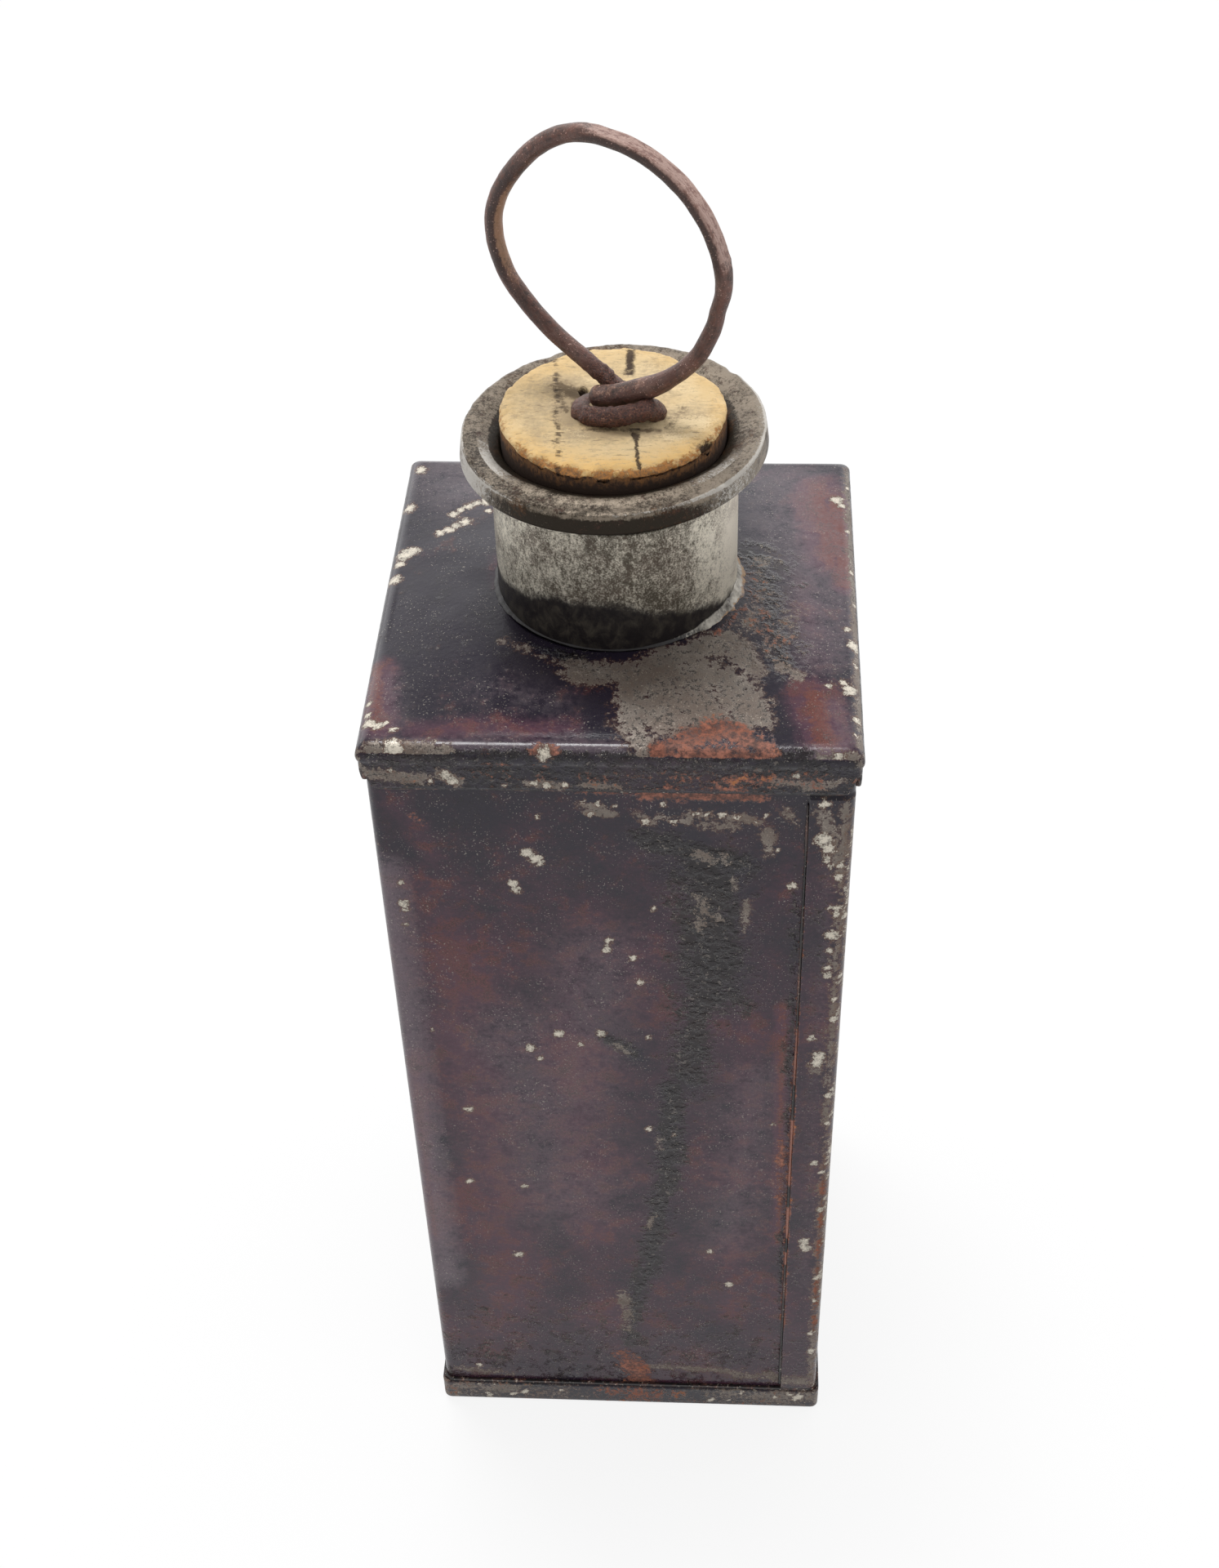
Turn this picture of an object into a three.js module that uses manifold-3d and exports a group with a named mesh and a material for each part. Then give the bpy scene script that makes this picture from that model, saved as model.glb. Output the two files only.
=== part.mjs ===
// Square tinplate medicine tin: a lap-seamed body, a crowned shoulder with folded flaps, a base pan,
// a soldered neck with a flared lip, and a cork with a finger-ring wire corkscrew left in it.
// Millimetres, +Z up. The origin is the centre of the base, and the lap seam is on the front (-Y).
import * as THREE from "three";
import { mergeVertices } from "three/addons/utils/BufferGeometryUtils.js";
import Module from "manifold-3d";

// Tinplate sheet and its joints
const SHEET = 0.4;
const SOLDER_GAP = 0.1;
const SOLDER_WIDTH = 0.35;
const SOLDER_HEIGHT = 0.5;

// Body: one sheet bent to a square tube, lapped on the front beside the right corner
const BODY_SIDE = 54;
const BODY_CORNER = 1.2;
const LAP_WIDTH = 5;
const LAP_END_GAP = 1;

// Base pan
const PAN_HEIGHT = 4.5;

// Shoulder: a crowned plate whose edge rolls over in a bead and folds down in four flaps
const SHOULDER_Z = 129.5;
const BEAD_PROUD = 0.2;
const BEAD_R = 1.6;
const CROWN = 2.3;
const FLAP_DEPTH = 6;
const FLAP_END_CUT = 3.2;
const CROWN_CELLS = 16;

// Neck tube, a little behind the middle of the shoulder
const NECK_X = -0.25;
const NECK_Y = 1.7;
const NECK_R = 13.93;
const NECK_TOP = 146.8;
const NECK_HOLE_GAP = 0.15;
const NECK_BELOW = 0.5;
const FILLET_WIDTH = 1.6;
const FILLET_HEIGHT = 1.4;
const NECK_SEAM_WIDTH = 1.6;
const ROUND_SIDES = 48;

// Lip: a deep-edged collar on the neck's top, with a funnel above and a spigot inside the neck
const LIP_R = 17.2;
const LIP_HEIGHT = 4.95;
const LIP_EDGE = 2.4;
const LIP_ROUND = 0.35;
const LIP_SKIRT = 1.5;
const SPIGOT_LENGTH = 7;
const SPIGOT_WALL = 0.85;
const SPIGOT_GAP = 0.1;

// Cork: tapered, with its big end above the lip
const CORK_ABOVE_LIP = 2.3;
const CORK_LENGTH = 20;
const CORK_TAPER = 0.048;
const CORK_GAP = 0.15;
const CORK_CHAMFER = 0.5;

// Corkscrew: one wire bent to a finger ring, with its free end lapped over the shank
const WIRE_D = 2;
const WIRE_GAP = 0.3;
const WIRE_SIDES = 8;
const WIRE_STEP = 1.0;
const RING_R = 13.8;
const RING_DENT = 0.9;
const RING_DENT_AT = 140;
const RING_SIDE = -1.4;
const RING_RISE = 4.15;
const RING_YAW = THREE.MathUtils.degToRad(-26);
const RING_LEAN = THREE.MathUtils.degToRad(3.5);
const RIGHT_LEAVES = -14.5;
const LEFT_LEAVES = 207;
const FREE_END_REACH = 2.9;
const FREE_END_RISE = 0.5;
const FREE_END_PULL = 4.4;
const FREE_END_CLIMB = 0.8;
const SHANK_FOOT_SIDE = -0.9;
const SHANK_FOOT_RISE = 0.7;
const LEG_SAG = 1.2;
const LEG_PULL = 9.8;
const LEG_FORWARD = 1.85;
const WORM_X = 0.95;
const WORM_Y = 0.6;
const WORM_R = 4.9;
const WORM_PITCH = 5.6;
const WORM_TURNS = 2.5;
const WORM_START_RISE = 0.75;
const WORM_START = 10;
const WORM_LANDS = -80;

// Sizes that follow
const HALF = BODY_SIDE / 2;
const FLAP_IN = HALF + SOLDER_GAP;
const FLAP_OUT = FLAP_IN + SHEET;
const PLATE_HALF = FLAP_OUT + BEAD_PROUD;
const BEAD_IN = PLATE_HALF - BEAD_R;
const FLAP_BOTTOM = SHOULDER_Z - FLAP_DEPTH;
const BODY_BOTTOM = SHEET + SOLDER_GAP;
const BODY_TOP = SHOULDER_Z - BEAD_R + SHEET / 2;
const LIP_TOP = NECK_TOP + LIP_HEIGHT;
const SPIGOT_R = NECK_R - SHEET - SPIGOT_GAP;
const BORE_R = SPIGOT_R - SPIGOT_WALL;
const CORK_TOP = LIP_TOP + CORK_ABOVE_LIP;
const MOUTH_Z = NECK_TOP + LIP_SKIRT;
const WIRE_R = WIRE_D / 2;
const WIRE_REST = CORK_TOP + WIRE_GAP + WIRE_R;
const RING_Z = CORK_TOP + RING_RISE + RING_R;

const wasm = await Module();
wasm.setup();

// Joining and cutting

function solid(geometry) {
  const bare = geometry.clone();
  bare.deleteAttribute("normal");
  bare.deleteAttribute("uv");
  const merged = mergeVertices(bare, 1e-5);
  return new wasm.Manifold(new wasm.Mesh({
    numProp: 3,
    vertProperties: new Float32Array(merged.attributes.position.array),
    triVerts: new Uint32Array(merged.index.array),
  }));
}

function geometryOf(manifold) {
  const mesh = manifold.getMesh();
  const geometry = new THREE.BufferGeometry();
  geometry.setAttribute("position", new THREE.BufferAttribute(new Float32Array(mesh.vertProperties), 3));
  geometry.setIndex(new THREE.BufferAttribute(new Uint32Array(mesh.triVerts), 1));
  return geometry;
}

// Shapes used more than once

function roundedSquare(half, radius) {
  const inner = half - radius;
  const shape = new THREE.Shape();
  shape.moveTo(-inner, -half);
  shape.absarc(inner, -inner, radius, -Math.PI / 2, 0, false);
  shape.absarc(inner, inner, radius, 0, Math.PI / 2, false);
  shape.absarc(-inner, inner, radius, Math.PI / 2, Math.PI, false);
  shape.absarc(-inner, -inner, radius, Math.PI, 1.5 * Math.PI, false);
  return shape;
}

function upright(shape, bottom, top) {
  const geometry = new THREE.ExtrudeGeometry(shape, {
    depth: top - bottom,
    bevelEnabled: false,
    curveSegments: 2,
  });
  return geometry.translate(0, 0, bottom);
}

function squareBand(innerHalf, width, bottom, top) {
  const corner = BODY_CORNER + innerHalf - HALF;
  const shape = roundedSquare(innerHalf + width, corner + width);
  shape.holes.push(roundedSquare(innerHalf, corner));
  return upright(shape, bottom, top);
}

// A lathe's faces point out when its outline runs upwards on the outside.
function turned(outline) {
  const points = outline.map(([r, z]) => new THREE.Vector2(r, z));
  points.push(points[0].clone());
  return new THREE.LatheGeometry(points, ROUND_SIDES).rotateX(Math.PI / 2);
}

// Crown of the shoulder: a pillow that falls to nothing along all four edges
function crown(x, y) {
  return CROWN * (1 - (x / BEAD_IN) ** 2) * (1 - (y / BEAD_IN) ** 2);
}

function raisedByCrown(geometry, x0, y0) {
  const position = geometry.attributes.position;
  for (let i = 0; i < position.count; i += 1) {
    const rise = crown(position.getX(i) + x0, position.getY(i) + y0);
    position.setZ(i, position.getZ(i) + rise);
  }
  return geometry;
}

// Body sheet: the outer end of the sheet laps over the inner end on the front face
function bodySheet() {
  const lapFace = -FLAP_OUT;
  const inner = HALF - BODY_CORNER;
  const bendIn = BODY_CORNER - SHEET;
  const innerEnd = HALF - SHEET - LAP_END_GAP;
  const lapEdge = HALF - LAP_WIDTH;
  const lapBend = lapFace + BODY_CORNER;
  const quarter = Math.PI / 2;
  const section = new THREE.Shape();
  section.moveTo(innerEnd, -HALF);
  section.lineTo(-inner, -HALF);
  section.absarc(-inner, -inner, BODY_CORNER, -quarter, -2 * quarter, true);
  section.absarc(-inner, inner, BODY_CORNER, 2 * quarter, quarter, true);
  section.absarc(inner, inner, BODY_CORNER, quarter, 0, true);
  section.absarc(inner, lapBend, BODY_CORNER, 0, -quarter, true);
  section.lineTo(lapEdge, lapFace);
  section.lineTo(lapEdge, lapFace + SHEET);
  section.absarc(inner, lapBend, bendIn, -quarter, 0, false);
  section.absarc(inner, inner, bendIn, 0, quarter, false);
  section.absarc(-inner, inner, bendIn, quarter, 2 * quarter, false);
  section.absarc(-inner, -inner, bendIn, 2 * quarter, 3 * quarter, false);
  section.lineTo(innerEnd, -HALF + SHEET);
  section.closePath();
  const sheet = solid(upright(section, BODY_BOTTOM, BODY_TOP));
  // The lap is notched at both ends to let the base pan and the shoulder flap lie flat.
  const room = SOLDER_HEIGHT + 3 * SOLDER_GAP;
  const plain = HALF + SOLDER_GAP / 2;
  const low = solid(squareBand(plain, LAP_WIDTH, 0, PAN_HEIGHT + room));
  const high = solid(squareBand(plain, LAP_WIDTH, FLAP_BOTTOM - room, SHOULDER_Z));
  return geometryOf(sheet.subtract(low).subtract(high));
}

function sideSeamSolder() {
  const edge = HALF - LAP_WIDTH - SOLDER_GAP / 2;
  const face = -HALF - SOLDER_GAP / 2;
  const section = new THREE.Shape();
  section.moveTo(edge - SOLDER_HEIGHT, face);
  section.lineTo(edge, face - SOLDER_WIDTH);
  section.lineTo(edge, face);
  section.closePath();
  const room = SOLDER_HEIGHT + 3 * SOLDER_GAP;
  return upright(section, PAN_HEIGHT + room, FLAP_BOTTOM - room);
}

function bottomPan() {
  const wall = squareBand(FLAP_IN, SHEET, SHEET / 2, PAN_HEIGHT);
  const floor = upright(roundedSquare(FLAP_OUT, BODY_CORNER + FLAP_OUT - HALF), 0, SHEET);
  return geometryOf(solid(wall).add(solid(floor)));
}

// Profile of the rolled edge and flap, as distances from the middle of the plate
function edgeOutline() {
  const bendZ = SHOULDER_Z - BEAD_R;
  const turnsIn = Math.acos((FLAP_OUT - BEAD_IN) / BEAD_R);
  const points = [[FLAP_IN, FLAP_BOTTOM], [FLAP_OUT, FLAP_BOTTOM]];
  const steps = 8;
  for (let i = 0; i <= steps; i += 1) {
    const angle = -turnsIn + (i / steps) * (Math.PI / 2 + turnsIn);
    points.push([BEAD_IN + BEAD_R * Math.cos(angle), bendZ + BEAD_R * Math.sin(angle)]);
  }
  for (let i = steps; i >= 0; i -= 1) {
    const angle = -turnsIn + (i / steps) * (Math.PI / 2 + turnsIn);
    const radius = BEAD_R - SHEET;
    const out = Math.max(BEAD_IN + radius * Math.cos(angle), FLAP_IN - (i / steps) * BEAD_R);
    points.push([out, bendZ + radius * Math.sin(angle)]);
  }
  return points;
}

function shoulderPlate() {
  // A lathe of four sides, turned by an eighth, is a square frame with mitred corners.
  const outline = edgeOutline().map(([d, z]) => new THREE.Vector2(d * Math.SQRT2, z));
  outline.push(outline[0].clone());
  const frame = new THREE.LatheGeometry(outline, 4, Math.PI / 4).rotateX(Math.PI / 2);
  // Each flap's ends are cut on the slant, so that the body's corners show between the flaps.
  const top = SHOULDER_Z - BEAD_R;
  const slant = new THREE.Shape();
  slant.moveTo(PLATE_HALF * Math.SQRT2, top);
  slant.lineTo((PLATE_HALF - FLAP_END_CUT / 2) * Math.SQRT2, FLAP_BOTTOM);
  slant.lineTo((PLATE_HALF - FLAP_END_CUT / 2) * Math.SQRT2, FLAP_BOTTOM - 1);
  slant.lineTo(PLATE_HALF * Math.SQRT2 + 1, FLAP_BOTTOM - 1);
  slant.closePath();
  let plate = solid(frame);
  for (let corner = 0; corner < 4; corner += 1) {
    const wedge = new THREE.ExtrudeGeometry(slant, { depth: BODY_SIDE / 2, bevelEnabled: false });
    wedge.translate(0, 0, -BODY_SIDE / 4);
    wedge.rotateX(Math.PI / 2);
    wedge.rotateZ(Math.PI / 4 + (corner * Math.PI) / 2);
    plate = plate.subtract(solid(wedge));
  }
  const reach = 2 * BEAD_IN + SHEET;
  const sheet = new THREE.BoxGeometry(reach, reach, SHEET, CROWN_CELLS, CROWN_CELLS, 1);
  sheet.translate(0, 0, SHOULDER_Z - SHEET / 2);
  plate = plate.add(solid(raisedByCrown(sheet, 0, 0)));
  const hole = new THREE.CylinderGeometry(NECK_R + NECK_HOLE_GAP, NECK_R + NECK_HOLE_GAP, 40, ROUND_SIDES);
  hole.rotateX(Math.PI / 2).translate(NECK_X, NECK_Y, SHOULDER_Z);
  return geometryOf(plate.subtract(solid(hole)));
}

function neckTube() {
  const bottom = SHOULDER_Z - NECK_BELOW;
  const inner = NECK_R - SHEET;
  return turned([[inner, bottom], [NECK_R, bottom], [NECK_R, NECK_TOP], [inner, NECK_TOP]]);
}

function neckBaseSolder() {
  const inner = NECK_R + SOLDER_GAP;
  const base = SHOULDER_Z + SOLDER_GAP;
  const ring = turned([
    [inner, base],
    [NECK_R + FILLET_WIDTH, base],
    [NECK_R + FILLET_WIDTH / 3, base + FILLET_HEIGHT / 3],
    [inner, base + FILLET_HEIGHT],
  ]);
  return raisedByCrown(ring, NECK_X, NECK_Y);
}

// A flat run of solder over the tube's seam, at the back
function neckSeamSolder() {
  const inner = NECK_R + SOLDER_GAP;
  const outer = inner + SOLDER_WIDTH;
  const half = NECK_SEAM_WIDTH / 2 / NECK_R;
  const section = new THREE.Shape();
  section.absarc(0, 0, outer, Math.PI / 2 - half, Math.PI / 2 + half, false);
  section.absarc(0, 0, inner, Math.PI / 2 + half, Math.PI / 2 - half, true);
  section.closePath();
  const bottom = SHOULDER_Z + CROWN + FILLET_HEIGHT + SOLDER_GAP;
  return upright(section, bottom, NECK_TOP - SOLDER_GAP);
}

function lipRing() {
  const seat = NECK_TOP + SOLDER_GAP;
  const outline = [
    [BORE_R, NECK_TOP - SPIGOT_LENGTH],
    [SPIGOT_R, NECK_TOP - SPIGOT_LENGTH],
    [SPIGOT_R, seat],
    [NECK_R, seat],
  ];
  // A shallow flare underneath, an upright edge with its upper corner eased, and a funnel on top.
  const steps = 6;
  const under = LIP_TOP - LIP_EDGE;
  for (let i = 0; i <= steps; i += 1) {
    const angle = (i / steps) * (Math.PI / 2);
    const r = NECK_R + (LIP_R - NECK_R) * (1 - Math.cos(angle));
    outline.push([r, MOUTH_Z + (under - MOUTH_Z) * Math.sin(angle)]);
  }
  outline.push([LIP_R - LIP_ROUND / 3, LIP_TOP - LIP_ROUND]);
  for (let i = steps; i >= 0; i -= 1) {
    const angle = (i / steps) * (Math.PI / 2);
    const r = BORE_R + (LIP_R - LIP_ROUND * 2 - BORE_R) * (1 - Math.cos(angle));
    outline.push([r, MOUTH_Z + (LIP_TOP - MOUTH_Z) * Math.sin(angle)]);
  }
  return turned(outline);
}

// The wire's route. Ring points lie in an upright plane through the worm's axis: side is along
// the ring, forward is out of its plane. Worm points turn clockwise, seen from above, as they go down.
const wormX = NECK_X + WORM_X;
const wormY = NECK_Y + WORM_Y;

function ringPoint(side, z, forward) {
  const out = forward + (z - RING_Z) * Math.tan(RING_LEAN);
  const x = wormX + side * Math.cos(RING_YAW) + out * Math.sin(RING_YAW);
  const y = wormY + side * Math.sin(RING_YAW) - out * Math.cos(RING_YAW);
  return new THREE.Vector3(x, y, z);
}

function onRing(degrees) {
  const angle = THREE.MathUtils.degToRad(degrees);
  const offDent = THREE.MathUtils.degToRad(degrees - RING_DENT_AT);
  const radius = RING_R - RING_DENT * Math.max(0, Math.cos(2 * offDent)) ** 2;
  return [RING_SIDE + radius * Math.cos(angle), RING_Z + radius * Math.sin(angle)];
}

function wormPoint(degrees) {
  const angle = THREE.MathUtils.degToRad(degrees);
  const opening = Math.min(1, (WORM_START - degrees) / 60);
  const radius = WORM_R - (1 - opening) * WIRE_R;
  const drop = Math.max(0, WORM_LANDS - degrees) / 360;
  const rise = WORM_START_RISE * Math.max(0, (degrees - WORM_LANDS) / (WORM_START - WORM_LANDS));
  const z = WIRE_REST + rise - WORM_PITCH * drop;
  return new THREE.Vector3(wormX + radius * Math.cos(angle), wormY + radius * Math.sin(angle), z);
}

function wireRoute() {
  const points = [];
  // The right leg comes in front of the shank and ends just past it.
  const cross = WIRE_D + 2 * WIRE_GAP;
  const endZ = WIRE_REST + FREE_END_RISE;
  const [exitSide, exitZ] = onRing(RIGHT_LEAVES);
  const leaves = THREE.MathUtils.degToRad(RIGHT_LEAVES);
  const leg = new THREE.CubicBezierCurve3(
    new THREE.Vector3(-FREE_END_REACH, endZ, cross),
    new THREE.Vector3(FREE_END_PULL - FREE_END_REACH, endZ + FREE_END_CLIMB, cross),
    new THREE.Vector3(exitSide + LEG_PULL * Math.sin(leaves), exitZ - LEG_PULL * Math.cos(leaves), LEG_FORWARD),
    new THREE.Vector3(exitSide, exitZ, 0),
  );
  for (const t of [0, 0.15, 0.3, 0.45, 0.6, 0.75, 0.9]) {
    const p = leg.getPoint(t);
    points.push(ringPoint(p.x, p.y, p.z));
  }
  const arcs = 20;
  for (let i = 0; i <= arcs; i += 1) {
    points.push(ringPoint(...onRing(RIGHT_LEAVES + (i / arcs) * (LEFT_LEAVES - RIGHT_LEAVES)), 0));
  }
  // The left leg sags on its way to the shank's foot, most at a third of the way, where f (1 - f)^2 peaks.
  const [leftSide, leftZ] = onRing(LEFT_LEAVES);
  for (const f of [0.25, 0.45, 0.65, 0.85, 1]) {
    const side = leftSide + f * (SHANK_FOOT_SIDE - leftSide);
    const straight = leftZ + f * (WIRE_REST + SHANK_FOOT_RISE - leftZ);
    points.push(ringPoint(side, straight - LEG_SAG * 6.75 * f * (1 - f) ** 2, 0));
  }
  const last = WORM_LANDS - 360 * WORM_TURNS;
  for (let degrees = WORM_START; degrees >= last; degrees -= 30) {
    points.push(wormPoint(degrees));
  }
  return new THREE.CatmullRomCurve3(points, false, "centripetal");
}

function wormRoute() {
  const points = [];
  const last = WORM_LANDS - 360 * WORM_TURNS;
  for (let degrees = WORM_LANDS; degrees >= last - 10; degrees -= 30) {
    points.push(wormPoint(degrees));
  }
  points.push(wormPoint(last - 10));
  return new THREE.CatmullRomCurve3(points, false, "centripetal");
}

function wireAlong(route, radius) {
  const section = new THREE.Shape();
  section.absarc(0, 0, radius, 0, 2 * Math.PI, false);
  return new THREE.ExtrudeGeometry(section, {
    steps: Math.round(route.getLength() / WIRE_STEP),
    extrudePath: route,
    curveSegments: WIRE_SIDES / 2,
  });
}

function cork() {
  const bottom = CORK_TOP - CORK_LENGTH;
  const radiusAt = (z) => BORE_R - CORK_GAP + CORK_TAPER * (z - MOUTH_Z);
  const outline = [
    [0, bottom],
    [radiusAt(bottom) - CORK_CHAMFER, bottom],
    [radiusAt(bottom), bottom + CORK_CHAMFER],
    [radiusAt(CORK_TOP), CORK_TOP - CORK_CHAMFER],
    [radiusAt(CORK_TOP) - CORK_CHAMFER, CORK_TOP],
    [0, CORK_TOP],
  ];
  const points = outline.map(([r, z]) => new THREE.Vector2(r, z));
  const plug = new THREE.LatheGeometry(points, ROUND_SIDES).rotateX(Math.PI / 2);
  plug.translate(NECK_X, NECK_Y, 0);
  const channel = wireAlong(wormRoute(), WIRE_R + WIRE_GAP);
  return geometryOf(solid(plug).subtract(solid(channel)));
}

// Materials
const japanned = new THREE.MeshStandardMaterial({ color: 0x3b2a2b, roughness: 0.38, metalness: 0.2 });
const bareTin = new THREE.MeshStandardMaterial({ color: 0x8f8c80, roughness: 0.5, metalness: 0.8 });
const dulledLip = new THREE.MeshStandardMaterial({ color: 0x55524a, roughness: 0.45, metalness: 0.7 });
const solder = new THREE.MeshStandardMaterial({ color: 0x77746c, roughness: 0.55, metalness: 0.8 });
const corkBark = new THREE.MeshStandardMaterial({ color: 0xc9ab72, roughness: 0.9, metalness: 0 });
const rustedWire = new THREE.MeshStandardMaterial({ color: 0x4a3431, roughness: 0.7, metalness: 0.5 });

const tin = new THREE.Group();

function put(name, geometry, material, x = 0, y = 0) {
  const mesh = new THREE.Mesh(geometry, material);
  mesh.name = name;
  mesh.position.set(x, y, 0);
  tin.add(mesh);
}

put("body_sheet", bodySheet(), japanned);
put("bottom_pan", bottomPan(), japanned);
put("shoulder_plate", shoulderPlate(), japanned);
put("neck_tube", neckTube(), bareTin, NECK_X, NECK_Y);
put("lip_ring", lipRing(), dulledLip, NECK_X, NECK_Y);
put("side_seam_solder", sideSeamSolder(), solder);
put("shoulder_solder", squareBand(
  HALF + SOLDER_GAP / 2,
  SOLDER_WIDTH,
  FLAP_BOTTOM - SOLDER_GAP - SOLDER_HEIGHT,
  FLAP_BOTTOM - SOLDER_GAP,
), solder);
put("bottom_solder", squareBand(
  HALF + SOLDER_GAP / 2,
  SOLDER_WIDTH,
  PAN_HEIGHT + SOLDER_GAP,
  PAN_HEIGHT + SOLDER_GAP + SOLDER_HEIGHT,
), solder);
put("neck_base_solder", neckBaseSolder(), solder, NECK_X, NECK_Y);
put("neck_seam_solder", neckSeamSolder(), solder, NECK_X, NECK_Y);
put("cork", cork(), corkBark);
put("wire_corkscrew", wireAlong(wireRoute(), WIRE_R), rustedWire);

export default tin;
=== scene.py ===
"""Dresses the square medicine tin: japanned sheet, bare neck, dull lip, old cork and rusted ring wire."""
import math
from types import SimpleNamespace

import bpy
import numpy as np
from bpy.props import FloatProperty, FloatVectorProperty, PointerProperty
from mathutils import Matrix, Vector


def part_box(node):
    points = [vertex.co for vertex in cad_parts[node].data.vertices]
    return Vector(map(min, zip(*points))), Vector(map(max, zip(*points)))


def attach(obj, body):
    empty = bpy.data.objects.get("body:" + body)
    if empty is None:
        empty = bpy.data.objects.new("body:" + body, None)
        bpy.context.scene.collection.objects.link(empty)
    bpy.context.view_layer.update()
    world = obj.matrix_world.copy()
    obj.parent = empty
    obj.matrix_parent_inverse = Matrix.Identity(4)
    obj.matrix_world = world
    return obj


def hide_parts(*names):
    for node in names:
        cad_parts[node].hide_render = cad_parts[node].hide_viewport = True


bl_info = {
    "name": "Square medicine tin",
    "version": (1, 0, 0),
    "blender": (4, 5, 0),
    "location": "View3D > Sidebar > Tin",
    "description": "Makes a worn japanned tin with a soldered neck, a cork and a finger-ring corkscrew",
    "category": "Add Mesh",
}

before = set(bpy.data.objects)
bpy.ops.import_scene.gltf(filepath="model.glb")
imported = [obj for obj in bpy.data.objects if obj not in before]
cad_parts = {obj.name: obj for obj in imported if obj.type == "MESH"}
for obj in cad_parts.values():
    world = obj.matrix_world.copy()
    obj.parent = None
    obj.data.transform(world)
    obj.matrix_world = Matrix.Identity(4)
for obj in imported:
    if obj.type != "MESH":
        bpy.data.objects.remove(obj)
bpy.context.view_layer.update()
BODY_LOW, BODY_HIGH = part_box("body_sheet")
_, PAN_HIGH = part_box("bottom_pan")
PLATE_LOW, PLATE_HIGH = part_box("shoulder_plate")
NECK_LOW, NECK_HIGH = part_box("neck_tube")
LIP_LOW, LIP_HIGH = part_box("lip_ring")
CORK_LOW, CORK_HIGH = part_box("cork")
SEAM_LOW, SEAM_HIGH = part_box("side_seam_solder")


def length(name, description, default):
    return FloatProperty(name=name, description=description, default=default, unit="LENGTH", precision=5)


def angle(name, description, degrees):
    return FloatProperty(name=name, description=description, default=math.radians(degrees), unit="ROTATION")


def colour(name, description, red, green, blue):
    return FloatVectorProperty(
        name=name, description=description, default=(red, green, blue), subtype="COLOR", min=0, max=1)


class TinSizes(bpy.types.PropertyGroup):
    """Lengths of the tin's sheet pieces."""

    sheet: length("Sheet", "Thickness of the tinplate", 0.0004)
    half: length("Half side", "Half of the body's outer width", BODY_HIGH.x)
    strip_face: length("Strip face", "How far the lap strip's face is from the middle", -BODY_LOW.y)
    strip_edge: length("Strip edge", "Where the lap strip ends, to the right of the middle", SEAM_HIGH.x)
    strip_low: length("Strip foot", "Height of the lap strip's lower end", 0.0053)
    strip_high: length("Strip head", "Height of the lap strip's upper end", 0.1227)
    corner: length("Corner", "Outer radius of the body's bends", 0.0012)
    wall_low: length("Wall foot", "Height of the body's lower edge", BODY_LOW.z)
    wall_high: length("Wall head", "Height of the body's upper edge", BODY_HIGH.z)
    pan_half: length("Pan half side", "Half of the base pan's outer width", PAN_HIGH.x)
    pan_high: length("Pan height", "Height of the base pan's flange", PAN_HIGH.z)
    pan_round: length("Pan edge", "Radius of the base pan's lower edge", 0.0007)
    plate_half: length("Plate half side", "Half of the shoulder's width over its bead", PLATE_HIGH.x)
    plate_high: length("Plate height", "Height of the shoulder's bead", 0.1295)
    bead: length("Bead", "Radius of the shoulder's rolled edge", 0.0016)
    crown: length("Crown", "Rise of the shoulder from its bead to its middle", PLATE_HIGH.z - 0.1295)
    flap_face: length("Flap face", "How far the flaps' faces are from the middle", 0.0275)
    flap_low: length("Flap foot", "Height of the flaps' lower edges", PLATE_LOW.z)
    flap_cut: length("Flap cut", "How far the flaps' ends are cut back", 0.0014)
    neck_x: length("Neck sideways", "Place of the neck's axis", (NECK_LOW.x + NECK_HIGH.x) / 2)
    neck_y: length("Neck back", "Place of the neck's axis", (NECK_LOW.y + NECK_HIGH.y) / 2)
    neck: length("Neck radius", "Outer radius of the neck", (NECK_HIGH.x - NECK_LOW.x) / 2)
    neck_low: length("Neck foot", "Height of the neck's lower edge", NECK_LOW.z)
    neck_high: length("Neck head", "Height of the neck's upper edge", NECK_HIGH.z)
    lip: length("Lip radius", "Outer radius of the lip", (LIP_HIGH.x - LIP_LOW.x) / 2)
    lip_edge: length("Lip edge", "Height of the lip's upright edge", 0.00255)
    lip_low: length("Spigot foot", "Height of the lower end of the lip's spigot", LIP_LOW.z)
    lip_high: length("Lip head", "Height of the lip's edge", LIP_HIGH.z)
    mouth: length("Mouth", "Height where the lip starts to flare", 0.1483)
    spigot: length("Spigot", "Outer radius of the lip's spigot", 0.01343)
    bore: length("Bore", "Radius of the mouth's bore", 0.01258)


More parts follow.
